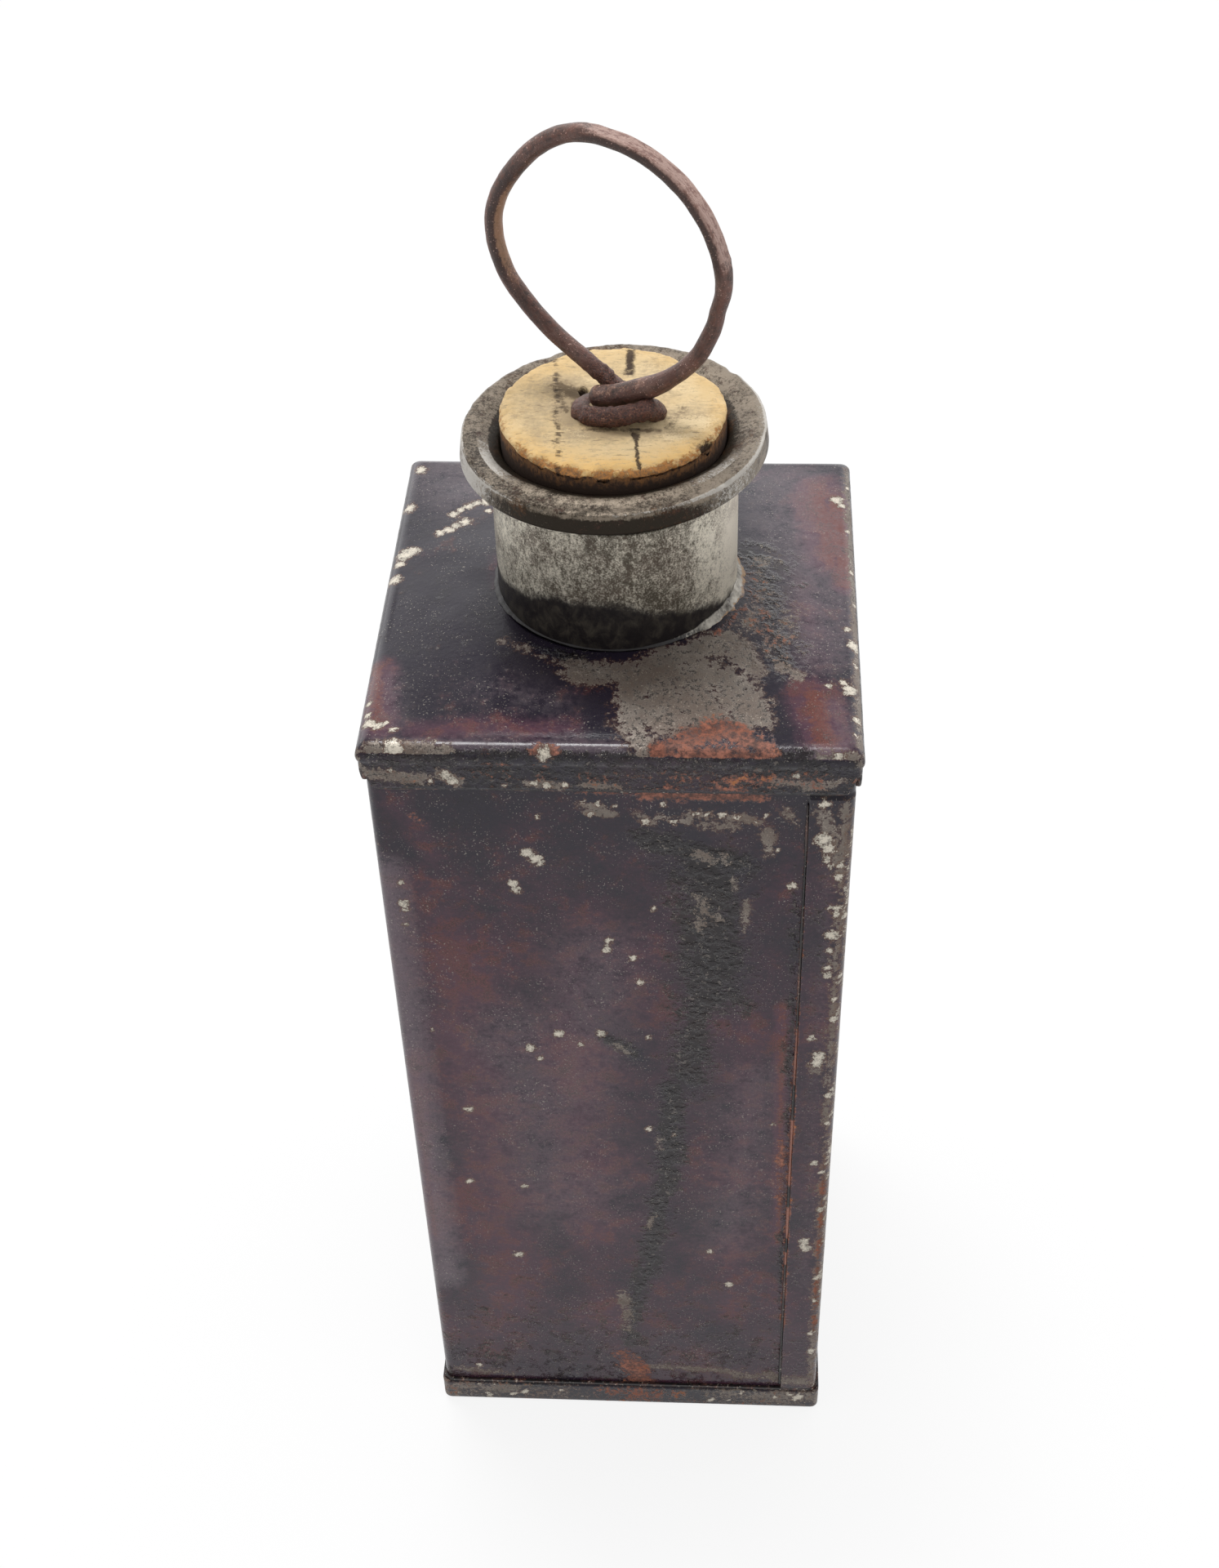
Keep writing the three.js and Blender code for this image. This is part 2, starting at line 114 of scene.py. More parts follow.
class StopperSizes(bpy.types.PropertyGroup):
    """Lengths and angles of the cork and of its wire."""

    cork_low: length("Cork foot", "Height of the cork's small end", CORK_LOW.z)
    cork_high: length("Cork head", "Height of the cork's big end", CORK_HIGH.z)
    cork_big: length("Big end", "Radius of the cork's big end", (CORK_HIGH.x - CORK_LOW.x) / 2)
    cork_small: length("Small end", "Radius of the cork's small end", 0.01172)
    wire: length("Wire", "Radius of the wire", 0.001)
    wire_gap: length("Wire gap", "Room between the wire and the cork", 0.0003)
    ring: length("Ring", "Radius of the ring at the wire's middle", 0.0138)
    ring_side: length("Ring sideways", "Place of the ring's middle from the worm's axis", -0.0014)
    ring_rise: length("Ring rise", "Height of the ring's lowest line above the cork", 0.00415)
    ring_dent: length("Ring dent", "Depth of the flat on the ring's upper left", 0.0009)
    ring_dent_at: angle("Ring dent at", "Place of that flat round the ring", 140)
    ring_yaw: angle("Ring turn", "Turn of the ring about the upright", -26)
    ring_lean: angle("Ring lean", "Lean of the ring to the back", 3.5)
    right_leaves: angle("Right leg leaves", "Where the right leg leaves the ring", -14.5)
    left_leaves: angle("Left leg leaves", "Where the left leg leaves the ring", 207)
    foot_side: length("Shank foot", "Place of the shank's foot from the worm's axis", -0.0009)
    foot_rise: length("Shank foot rise", "Height of the shank's foot above the resting wire", -0.0004)
    leg_sag: length("Leg sag", "Sag of the left leg", 0.0012)
    worm_x: length("Worm sideways", "Place of the worm's axis from the neck's", 0.00095)
    worm_y: length("Worm back", "Place of the worm's axis from the neck's", 0.0006)
    worm: length("Worm", "Radius of the worm at the wire's middle", 0.0049)
    worm_pitch: length("Worm pitch", "Drop of the worm in one turn", 0.0056)
    worm_rise: length("Worm start", "Height of the worm's start above the resting wire", 0.00075)
    worm_start: angle("Worm starts", "Place of the worm's start round its axis", 10)
    worm_lands: angle("Worm lands", "Where the worm comes down on the cork", -80)
    worm_ends: angle("Worm ends", "Where the worm's point is", -980)


class TinColours(bpy.types.PropertyGroup):
    """Colours of the tin's finishes."""

    black: colour("Black japan", "Thick lacquer", 0.0145, 0.0105, 0.0200)
    maroon: colour("Maroon japan", "Thin lacquer over tin", 0.068, 0.025, 0.043)
    glow: colour("Thin japan", "Red-brown where the lacquer is thinnest", 0.140, 0.036, 0.022)
    # Charred japan is also painted shade on the flaps under the bead and on the bead's lower face.
    char: colour("Charred japan", "Blistered lacquer", 0.0085, 0.0062, 0.0068)
    bare: colour("Bare sheet", "Sheet that has lost its lacquer", 0.232, 0.198, 0.170)
    brown: colour("Stained sheet", "Brown stain on the bare sheet", 0.135, 0.098, 0.078)
    # Hazy japan: dull, dusty lacquer, and also the milky colour of a painted sheen where the haze marks stand for
    # reflected light.
    haze_and_sheen: colour("Hazy japan", "Lacquer gone dull and dusty", 0.180, 0.138, 0.160)
    pit: colour("Pitted sheet", "Dark pits in the bare sheet", 0.030, 0.025, 0.023)
    chip: colour("Chip", "Fresh chips down to the tin", 0.62, 0.565, 0.475)
    chip_rim: colour("Chip rim", "Brown edge of a chip", 0.11, 0.055, 0.035)
    rust: colour("Rust", "Reddish rust", 0.32, 0.125, 0.082)
    rust_deep: colour("Deep rust", "Brown rust", 0.085, 0.036, 0.027)
    rust_bright: colour("Bright rust", "Yellow rust", 0.45, 0.17, 0.045)
    ochre: colour("Ochre rust", "Ochre stain by the solder", 0.30, 0.165, 0.062)
    tin: colour("Bright tin", "Clean tin of the neck", 0.70, 0.65, 0.54)
    tin_dull: colour("Dull tin", "Stained tin of the neck", 0.082, 0.070, 0.052)
    lip: colour("Lip", "Dulled metal of the lip", 0.225, 0.185, 0.142)
    # The lip's stain colour also paints its shade.
    lip_dark: colour("Lip stain", "Dark stain of the lip", 0.024, 0.018, 0.012)
    # The rubbed edge colour also paints the lip's highlight.
    lip_edge: colour("Lip edge", "Rubbed edge of the lip", 0.40, 0.375, 0.34)
    solder: colour("Solder", "Solder of the seams", 0.36, 0.335, 0.29)


class StopperColours(bpy.types.PropertyGroup):
    """Colours of the cork and of its wire."""

    cork: colour("Cork", "Clean cork", 0.60, 0.42, 0.20)
    cork_gold: colour("Golden cork", "Cork near its rim", 0.66, 0.40, 0.13)
    cork_pale: colour("Pale cork", "Rubbed cork", 0.68, 0.54, 0.33)
    cork_grey: colour("Dusty cork", "Handled cork", 0.34, 0.26, 0.165)
    cork_burnt: colour("Cork edge", "Orange-brown torn edge", 0.36, 0.15, 0.04)
    cork_dirt: colour("Cork dirt", "Dirt rubbed into the cork", 0.15, 0.105, 0.062)
    cork_wall: colour("Cork wall", "Brown side of the cork near its top", 0.17, 0.088, 0.042)
    # Cork side: the near-black that the side takes towards its foot.
    cork_side: colour("Cork side", "Stained side of the cork", 0.036, 0.022, 0.016)
    cork_dark: colour("Cork pores", "Dark pores and cracks", 0.035, 0.020, 0.014)
    wire: colour("Wire", "Brown scale", 0.165, 0.090, 0.072)
    wire_dark: colour("Wire shade", "Dark scale", 0.034, 0.018, 0.015)
    # Wire wear also paints light on the wire's upper faces.
    wire_pale: colour("Wire wear", "Rubbed pinkish scale", 0.33, 0.215, 0.180)
    wire_tan: colour("Wire tan", "Pale tan rust", 0.36, 0.21, 0.125)
    wire_rust: colour("Wire rust", "Reddish rust", 0.132, 0.047, 0.031)


def measures(group):
    """The group's values, with its lengths in millimetres, in which the shapes are worked out."""
    units = {key: group.bl_rna.properties[key].unit for key in group.__annotations__}
    return SimpleNamespace(
        **{key: getattr(group, key) * (1000 if unit == "LENGTH" else 1) for key, unit in units.items()})


def surface(name, grid, closed=False, poles=(False, False), fields=None):
    """A mesh in metres from a grid of points in millimetres: rows follow a profile, columns go round.

    The columns always close on themselves, and the rows do where closed is true. A pole draws the first or
    the last row together to one point, its mean. The sign of the enclosed volume turns the faces outwards.
    """
    rows, columns = grid.shape[:2]
    grid = grid.copy()
    index = np.arange(rows * columns).reshape(rows, columns)
    for row, pole in zip((0, rows - 1), poles):
        if pole:
            grid[row] = grid[row].mean(0)
            index[row] = index[row, 0]
    upper = np.roll(index, -1, 0) if closed else index[1:]
    lower = index if closed else index[:-1]
    quads = np.stack([lower, np.roll(lower, -1, 1), np.roll(upper, -1, 1), upper], -1)
    first, last = int(poles[0]), len(quads) - int(poles[1])
    fans = [quads[:first][..., [0, 2, 3]], quads[last:][..., [0, 1, 2]]]
    quads = quads[first:last].reshape(-1, 4)
    fans = np.concatenate([fan.reshape(-1, 3) for fan in fans])
    used, packed = np.unique(np.concatenate([quads.ravel(), fans.ravel()]), return_inverse=True)
    points = grid.reshape(-1, 3)[used]
    quads = packed[:quads.size].reshape(-1, 4)
    fans = packed[quads.size:].reshape(-1, 3)
    halves = np.concatenate([quads[:, :3], quads[:, [0, 2, 3]], fans])
    corners = points[halves]
    if np.einsum("ij,ij->", corners[:, 0], np.cross(corners[:, 1], corners[:, 2])) < 0:
        quads, fans = quads[:, ::-1], fans[:, ::-1]
    starts = np.concatenate([np.arange(len(quads)) * 4, quads.size + np.arange(len(fans)) * 3])
    mesh = bpy.data.meshes.new(name)
    mesh.vertices.add(len(points))
    mesh.vertices.foreach_set("co", (points / 1000).astype(np.float32).ravel())
    mesh.loops.add(quads.size + fans.size)
    mesh.loops.foreach_set("vertex_index", np.concatenate([quads.ravel(), fans.ravel()]).astype(np.int32))
    mesh.polygons.add(len(starts))
    mesh.polygons.foreach_set("loop_start", starts.astype(np.int32))
    mesh.polygons.foreach_set("use_smooth", np.ones(len(starts), bool))
    mesh.update(calc_edges=True)
    if mesh.validate():
        raise RuntimeError(f"{name}: the surface has faults")
    for key, values in (fields or {}).items():
        mesh.attributes.new(key, "FLOAT", "POINT").data.foreach_set(
            "value", values.reshape(-1)[used].astype(np.float32))
    piece = bpy.data.objects.new(name, mesh)
    bpy.context.scene.collection.objects.link(piece)
    return piece


def settle(piece, body, slot, material, *nodes):
    """Gives a finished piece its material and its body, and hides the solids that it stands for. The slot is not
    used.
    """
    piece.data.materials.append(material)
    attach(piece, body)
    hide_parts(*nodes)


def speckle(points, size, seed):
    """Smooth noise from 0 to 1: random values on a lattice of that size, eased between its eight corners."""
    where = points / size + 13.7 * seed
    cell = np.floor(where).astype(np.int64)
    part = where - cell
    part = part * part * (3 - 2 * part)
    total = np.zeros(points.shape[:-1])
    for corner in np.ndindex(2, 2, 2):
        node = cell + corner
        mixed = (node * (374761393, 668265263, 1440662683)).sum(-1) + seed * 1274126177 & 0xFFFFFFFF
        mixed = (mixed ^ mixed >> 13) * 1274126177 & 0xFFFFFFFF
        weight = np.where(corner, part, 1 - part).prod(-1)
        total += weight * ((mixed ^ mixed >> 16) & 0xFFFF) / 65535
    return total


def rough(points, size, seed):
    """Three sizes of smooth noise, each half as large and half as strong as the one before, about zero."""
    return sum((speckle(points, size / 2**k, seed + k) - 0.5) / 2**k for k in range(3))


def ease(low, high, values):
    """Goes smoothly from 0 at low to 1 at high."""
    t = np.clip((values - low) / (high - low), 0, 1)
    return t * t * (3 - 2 * t)


def hump(values, middle, width):
    """A bell curve: 1 at the middle, falling to a third at that width from it and soon to nothing."""
    return np.exp(-(((values - middle) / width) ** 2))


def bearing(around):
    """Angles round an upright axis in degrees from -180 to 180: 0 is to the right, -90 is in front."""
    return (np.degrees(around) + 180) % 360 - 180


def marks(u, v, bars):
    """Nearness to listed marks: full on a mark's spine, half at its edge, none at twice its radius.

    A mark is a bar with round ends, (u0, v0, u1, v1, radius, strength).
    """
    near = np.zeros(np.broadcast(u, v).shape)
    for u0, v0, u1, v1, radius, strength in bars:
        du, dv = u1 - u0, v1 - v0
        along = np.clip(((u - u0) * du + (v - v0) * dv) / max(du * du + dv * dv, 1e-9), 0, 1)
        away = np.hypot(u - u0 - along * du, v - v0 - along * dv)
        near = np.maximum(near, strength * np.clip(1 - away / (2 * radius), 0, 1))
    return near


def dots(spots):
    """Round marks from (u, v, radius)."""
    return [(u, v, u, v, radius, 1) for u, v, radius in spots]


def stray_marks(seed, count, width, height, largest):
    """Small marks strewn over a face, closer together towards its upright edges."""
    dice = np.random.default_rng(seed)
    side = dice.uniform(-1, 1, count)
    u = width * np.sign(side) * np.abs(side) ** 0.55
    v = dice.uniform(*height, count)
    radius = largest * dice.uniform(0.25, 1, count) ** 2
    run = radius * dice.uniform(-1.5, 1.5, (2, count))
    return list(zip(u, v, u + run[0], v + run[1], radius, np.ones(count)))


def square_loop(half, corner, spacing):
    """Points and outward normals round a square with round corners, from the front left corner to the right."""
    flat = half - corner
    steps = max(2, int(2 * flat / spacing))
    bend = np.radians(np.linspace(-90, 0, 7))
    run = np.linspace(-flat, flat, steps, endpoint=False)[1:]
    side = np.stack([run, np.full(run.shape, -half)], -1)
    arc = np.stack([flat + corner * np.cos(bend), -flat + corner * np.sin(bend)], -1)
    side_out = np.stack([np.zeros(run.shape), -np.ones(run.shape)], -1)
    arc_out = np.stack([np.cos(bend), np.sin(bend)], -1)
    points, outs = np.concatenate([side, arc]), np.concatenate([side_out, arc_out])
    turns = [np.array([[math.cos(k), math.sin(k)], [-math.sin(k), math.cos(k)]])
             for k in np.radians([0, 90, 180, 270])]
    return np.concatenate([points @ t for t in turns]), np.concatenate([outs @ t for t in turns])


def squared(half, unit, level):
    """Rows of points on square loops: each row has its half side and its heights, and unit is the loop's shape."""
    return np.stack(np.broadcast_arrays(half * unit[:, 0], half * unit[:, 1], level), -1)


def turned(profile, columns, x, y):
    """A profile of (radius, height) turned about an upright axis."""
    around = np.linspace(0, 2 * math.pi, columns, endpoint=False)
    radius, height = profile[:, :1], np.broadcast_to(profile[:, 1:], (len(profile), columns))
    return np.stack([x + radius * np.cos(around), y + radius * np.sin(around), height], -1), around


def stations(corners, spacing):
    """Points along a polygon line at about even spacing, with every corner of the line kept."""
    corners = np.asarray(corners, float)
    gaps = np.linalg.norm(np.diff(corners, axis=0), axis=1)
    counts = np.maximum(1, np.round(gaps / spacing)).astype(int)
    where = np.concatenate([k + np.arange(n) / n for k, n in enumerate(counts)] + [[len(counts)]])
    return np.stack([np.interp(where, np.arange(len(corners)), axis) for axis in corners.T], -1)


class Value:
    """A node's output that takes part in arithmetic: each operation on it adds a Math node."""

    def __init__(self, socket):
        self.socket = socket

    def nodes(self):
        return Nodes(self.socket.id_data)

    def math(self, operation, *others):
        return self.nodes().add("ShaderNodeMath", {"operation": operation}, dict(enumerate((self, *others))))

    def __add__(self, other):
        return self.math("ADD", other)

    def __sub__(self, other):
        return self.math("SUBTRACT", other)

    def __mul__(self, other):
        return self.math("MULTIPLY", other)

    def __rsub__(self, other):
        return self.nodes().add("ShaderNodeMath", {"operation": "SUBTRACT"}, {0: other, 1: self})

    __radd__ = __add__
    __rmul__ = __mul__

    def __abs__(self):
        return self.math("ABSOLUTE")

    def over(self, other):
        """The larger of the two."""
        return self.math("MAXIMUM", other)

    def held(self):
        """Kept from 0 to 1."""
        return self.math("MAXIMUM", 0.0).math("MINIMUM", 1.0)

    def step(self, low, high):
        """Goes smoothly from 0 at low to 1 at high."""
        return self.nodes().add("ShaderNodeMapRange", {"interpolation_type": "SMOOTHSTEP"},
                                {"Value": self, "From Min": low, "From Max": high, "To Min": 0.0, "To Max": 1.0})

    def sway(self, amount):
        """A noise made to swing about zero, that much from end to end."""
        return (self - 0.5) * amount


class Nodes:
    """Adds nodes to one tree."""

    def __init__(self, tree):
        self.tree = tree

    def add(self, kind, settings=None, sockets=None, output=0):
        """Any node: its settings first, then the values or links of its sockets. Gives one of its outputs."""
        node = self.tree.nodes.new(kind)
        for key, value in (settings or {}).items():
            setattr(node, key, value)
        for key, value in (sockets or {}).items():
            if isinstance(value, Value):
                self.tree.links.new(value.socket, node.inputs[key])
            else:
                node.inputs[key].default_value = value
        return Value(node.outputs[output]) if node.outputs else None

    def place(self):
        """Object coordinates in millimetres."""
        where = self.add("ShaderNodeTexCoord", output="Object")
        return self.add("ShaderNodeVectorMath", {"operation": "SCALE"}, {0: where, "Scale": 1000.0})

    def stretch(self, where, x, y, z):
        """Coordinates multiplied along each axis."""
        return self.add("ShaderNodeVectorMath", {"operation": "MULTIPLY"}, {0: where, 1: (x, y, z)})

    def noise(self, where, size, detail=3.0, roughness=0.55, distortion=0.0):
        """Noise from 0 to 1 whose features are about that many millimetres across."""
        return self.add("ShaderNodeTexNoise", {}, {
            "Vector": where, "Scale": 1 / size, "Detail": detail, "Roughness": roughness,
            "Distortion": distortion})

    def field(self, name):
        """One of the piece's own painted fields."""
        return self.add("ShaderNodeAttribute", {"attribute_name": name}, output="Fac")

    def axes(self, where):
        """The three coordinates."""
        node = self.add("ShaderNodeSeparateXYZ", {}, {0: where}).socket.node
        return [Value(socket) for socket in node.outputs]

    def mix(self, amount, first, second):
        """A colour between two, each a node's or a plain one."""
        first, second = (v if isinstance(v, Value) else (*v, 1.0) for v in (first, second))
        return self.add("ShaderNodeMix", {"data_type": "RGBA"}, {0: amount, 6: first, 7: second}, 2)

    def raised(self, height, distance):
        """A bumped normal, where a height of 1 stands that many millimetres proud."""
        return self.add("ShaderNodeBump", {}, {"Height": height, "Distance": distance / 1000, "Strength": 1.0})

    def finish(self, sockets):
        """The surface itself."""
        shader = self.add("ShaderNodeBsdfPrincipled", {}, sockets)
        self.add("ShaderNodeOutputMaterial", {}, {"Surface": shader})


def blank_material(name):
    """A named material with an empty node tree, and that tree's adder."""
    material = bpy.data.materials.new(name)
    material.use_nodes = True
    material.node_tree.nodes.clear()
    return material, Nodes(material.node_tree)


def toned(values, amount):
    """A colour made darker, or lighter where the amount is over 1."""
    return [v * amount for v in values]


def japan_finish(c):
    """Worn lacquer: black to maroon japan, blisters, ragged bare patches, rust, and chips with brown rims.

    The painted fields say how near a point is to each kind of wear, and noise breaks up their edges. The haze
    field is also a painted sheen, as on the bead's top and the front's left edge, and the char field also paints
    shade on the flaps and on the bead's lower face.
    """
    material, n = blank_material("japanned_sheet")
    at = n.place()
    broad, mid = n.noise(at, 13, 4, 0.6), n.noise(at, 2.4, 5, 0.62)
    fine, grit = n.noise(at, 0.6, 4, 0.62), n.noise(at, 0.17, 2)
    red, bare, rust = n.field("red"), n.field("bare"), n.field("rust")
    chip, char, haze_and_sheen = n.field("chip"), n.field("char"), n.field("haze_and_sheen")
    streak = n.noise(n.stretch(at, 0.45, 0.45, 1.0), 0.9, 4, 0.65)
    ragged = mid.sway(1.1) + fine.sway(1.0) + grit.sway(0.5)
    redness = (red + broad.sway(1.5) + mid.sway(0.9) + streak.sway(0.3) + fine.sway(0.4)).step(0.05, 0.95)
    charred = (char + mid.sway(1.5) + fine.sway(0.9)).step(0.30, 0.80)
    bared = (bare + ragged).step(0.43, 0.57)
    stained = (bare + ragged).step(0.24, 0.50) * bare.step(0.04, 0.25)
    rusted = (rust * 0.95 + ragged * 0.9).step(0.32, 0.68) * rust.step(0.04, 0.25)
    flaked = (chip + fine.sway(1.2) + grit.sway(0.6)) * chip.step(0.02, 0.15)
    chipped, rim = flaked.step(0.46, 0.53), flaked.step(0.24, 0.46)
    lacquer = n.mix(redness, c.black, c.maroon)
    clouds = broad * 0.3 + streak * 0.15 + mid * 0.55 + (redness - 0.6) * 0.12
    lacquer = n.mix(clouds.step(0.50, 0.64) * 0.5, lacquer, c.glow)
    lacquer = n.mix((red - 0.95 + mid.sway(1.8) + fine.sway(0.8)).step(0.0, 0.5) * 0.8, lacquer, c.glow)
    # Haze: dull lacquer, and a painted sheen on the bead's top, the front's left edge and the shoulder's right.
    dulled_and_sheen = (haze_and_sheen + mid.sway(1.5) + fine.sway(0.6) + grit.sway(1.0)).held() * haze_and_sheen.step(0.02, 0.3)
    lacquer = n.mix(dulled_and_sheen * 0.74, lacquer, c.haze_and_sheen)
    lacquer = n.mix((mid * 0.5 + grit * 0.5).step(0.50, 0.62) * 0.55, lacquer, c.char)
    lacquer = n.mix(charred * 0.9, lacquer, c.char)
    lacquer = n.mix(stained * (1 - charred) * 0.55, lacquer, c.chip_rim)
    dust = n.noise(at, 0.22, 1).step(0.66, 0.72) * n.noise(at, 4, 2).step(0.36, 0.60)
    olive = charred * n.noise(at, 0.7, 2).step(0.64, 0.70)
    lacquer = n.mix(dust * 0.32, lacquer, c.chip)
    lacquer = n.mix(olive * 0.4, lacquer, c.bare)
    pits = (fine * 0.50 + grit * 0.35 + mid * 0.25).step(0.535, 0.46)
    metal = n.mix(mid.step(0.35, 0.65), c.bare, toned(c.bare, 0.70))
    metal = n.mix((broad * 0.5 + mid * 0.3 + fine * 0.2).step(0.45, 0.60) * 0.7, metal, c.brown)
    metal = n.mix(pits * 0.8, metal, c.pit)
    metal = n.mix((grit * 0.6 + fine * 0.4).step(0.58, 0.66) * 0.45, metal, c.chip)
    oxide = n.mix((fine * 0.35 + mid * 0.5 + grit * 0.15).step(0.42, 0.61), c.rust_deep, c.rust)
    oxide = n.mix((mid * 0.7 + fine * 0.3).step(0.61, 0.70) * 0.6, oxide, c.rust_bright)
    oxide = n.mix((grit * 0.6 + fine * 0.4).step(0.46, 0.38) * 0.6, oxide, c.rust_deep)
    flake = n.mix((flaked + grit.sway(0.7)).step(0.46, 0.86), toned(c.chip, 0.45), c.chip)
    base = n.mix(bared, lacquer, metal)
    base = n.mix(rusted, base, oxide)
    base = n.mix(rim * 0.8, base, c.chip_rim)
    base = n.mix(chipped, base, flake)
    worn = bared.over(chipped)
    roughness = mid * 0.18 + fine * 0.14 + redness * 0.04 + 0.06 + worn * 0.22 + rusted * 0.35 - charred * 0.05
    blister = n.noise(at, 1.3, 3).step(0.42, 0.60) * charred
    height = (broad * 0.30 + mid * 0.14 + streak * 0.05 + fine * 0.08 + grit * 0.03 + blister * 1.1
              - worn * 0.25 + rusted * fine * 0.6 - pits * bared * 0.25)
    n.finish({"Base Color": base, "Roughness": roughness.held(), "Metallic": worn * 0.3,
              "Normal": n.raised(height, 0.16), "Specular IOR Level": 0.36})
    return material


def neck_finish(c):
    """Bare mottled tin with slanting wipe marks, painted shade on its front and under the lip, a painted
    reflection left clean on its right, and a ragged band of black japan at its foot.
    """
    material, n = blank_material("bare_tin")
    at = n.place()
    slant = n.stretch(at, 1.0, 1.0, 0.7)
    blotch, mottle = n.noise(at, 5, 4, 0.6), n.noise(slant, 0.42, 5, 0.72, 0.3)
    grit, spot = n.noise(at, 0.2, 3, 0.6), n.noise(slant, 1.5, 4, 0.7, 0.5)
    band, stain_and_shade = n.field("band"), n.field("stain_and_shade")
    japanned = (band + blotch.sway(1.2) + mottle.sway(0.8)).step(0.12, 0.95)
    # Dirt here follows the stain field: real stain, and painted shade on the front and under the lip, with the
    # right kept clean as a painted reflection.
    dirt = (stain_and_shade + spot.sway(1.7) + mottle.sway(2.0) + grit.sway(1.8) + blotch.sway(0.8)).step(-0.35, 0.90)
    metal = n.mix(dirt, c.tin, c.tin_dull)
    metal = n.mix((blotch * 0.6 + grit * 0.4).step(0.48, 0.62) * 0.45, metal, c.brown)
    coat = n.mix(spot.step(0.40, 0.75) * 0.5, c.char, c.tin_dull)
    base = n.mix(japanned, metal, coat)
    dull = dirt * 0.10 + grit * 0.14 + 0.30
    height = mottle * 0.5 + grit * 0.3 + japanned * 0.5
    n.finish({"Base Color": base, "Roughness": dull, "Metallic": (1 - japanned) * 0.45,
              "Normal": n.raised(height, 0.05), "Specular IOR Level": 0.3})
    return material


def lip_finish(c):
    """Dull olive-brown metal, mottled at several sizes, with dark stains and painted shade, and an edge rubbed
    bright with a painted highlight.
    """
    material, n = blank_material("dulled_lip")
    at = n.place()
    cloud, blotch = n.noise(at, 4.5, 3, 0.6), n.noise(at, 1.3, 4, 0.65)
    mottle, grit = n.noise(at, 0.42, 4, 0.7), n.noise(at, 0.15, 2)
    # The stain field is partly stain and partly painted shade; the edge field is partly rubbed metal and partly a
    # painted highlight.
    rubbed, deep = n.field("edge"), n.field("stain_and_shade")
    scratch = n.noise(n.stretch(at, 1.0, 1.0, 0.16), 0.34, 3, 0.6)
    dark = cloud.sway(1.3) + blotch.sway(1.7) + mottle.sway(1.6) + grit.sway(1.4) + scratch.sway(1.4) + deep
    base = n.mix(dark.step(-0.30, 0.78), c.lip, c.lip_dark)
    base = n.mix((blotch * 0.6 + grit * 0.4).step(0.53, 0.66) * 0.4, base, c.rust_deep)
    base = n.mix((cloud * 0.6 + mottle * 0.4).step(0.54, 0.68) * 0.14, base, c.rust_bright)
    base = n.mix((grit * 0.55 + mottle * 0.45).step(0.61, 0.68) * 0.45, base, c.lip)
    # Bright edge: rubbed metal, and a painted highlight on the rim and the band's sides.
    bright = (rubbed + mottle.sway(0.9) + grit.sway(0.6)).step(0.36, 0.60)
    base = n.mix(bright, base, c.lip_edge)
    height = blotch * 0.4 + mottle * 0.4 + grit * 0.15
    n.finish({"Base Color": base, "Roughness": mottle * 0.25 + 0.33 - bright * 0.06,
              "Metallic": 0.52, "Normal": n.raised(height, 0.12), "Specular IOR Level": 0.22})
    return material


def solder_finish(c):
    """Grey solder, lumpy, with dark dirt in its hollows and traces of rust."""
    material, n = blank_material("solder")
    at = n.place()
    blotch, mottle = n.noise(at, 2.4, 4, 0.6), n.noise(at, 0.5, 4, 0.6)
    base = n.mix((blotch + mottle * 0.6).step(0.55, 1.05), c.solder, c.pit)
    base = n.mix((blotch * 0.5 + mottle * 0.6).step(0.62, 0.74) * 0.6, base, c.rust_deep)
    rusty = (n.field("rust") + mottle.sway(1.3) + blotch.sway(0.9)).step(0.34, 0.62)
    base = n.mix(rusty * 0.85, base, n.mix(mottle.step(0.42, 0.58), c.rust_deep, c.ochre))
    black = (n.field("char") + mottle.sway(0.9) + blotch.sway(0.6)).step(0.36, 0.64)
    base = n.mix(black, base, c.char)
    n.finish({"Base Color": base, "Roughness": mottle * 0.25 + 0.34, "Metallic": (1 - black) * (1 - rusty) * 0.45,
              "Normal": n.raised(blotch + mottle * 0.5, 0.10)})
    return material


def seam_finish(c):
    """Solder under old lacquer: brown-black with orange-brown streaks along the seams, and rust-coloured streaks
    on the lap's seam that are partly a painted highlight.
    """
    material, n = blank_material("seam_solder")
    at = n.place()
    run = n.noise(n.stretch(at, 1.0, 1.0, 0.12), 1.1, 4, 0.6)
    grit = n.noise(at, 0.35, 3)
    base = n.mix(run.step(0.44, 0.66) * 0.8, c.char, c.rust_deep)
    base = n.mix((run + grit * 0.4).step(0.78, 0.92) * 0.6, base, c.rust)
    base = n.mix((grit + run * 0.3).step(0.76, 0.86) * 0.7, base, c.chip)
    # Rubbed streaks on the lap's seam: rust, and a painted highlight where its step catches light.
    rubbed = (n.field("rubbed") + run.sway(0.8) + grit.sway(0.8)).step(0.35, 0.65)
    base = n.mix(rubbed * 0.85, base, c.rust)
    n.finish({"Base Color": base, "Roughness": grit * 0.3 + 0.30, "Normal": n.raised(run + grit, 0.08)})
    return material


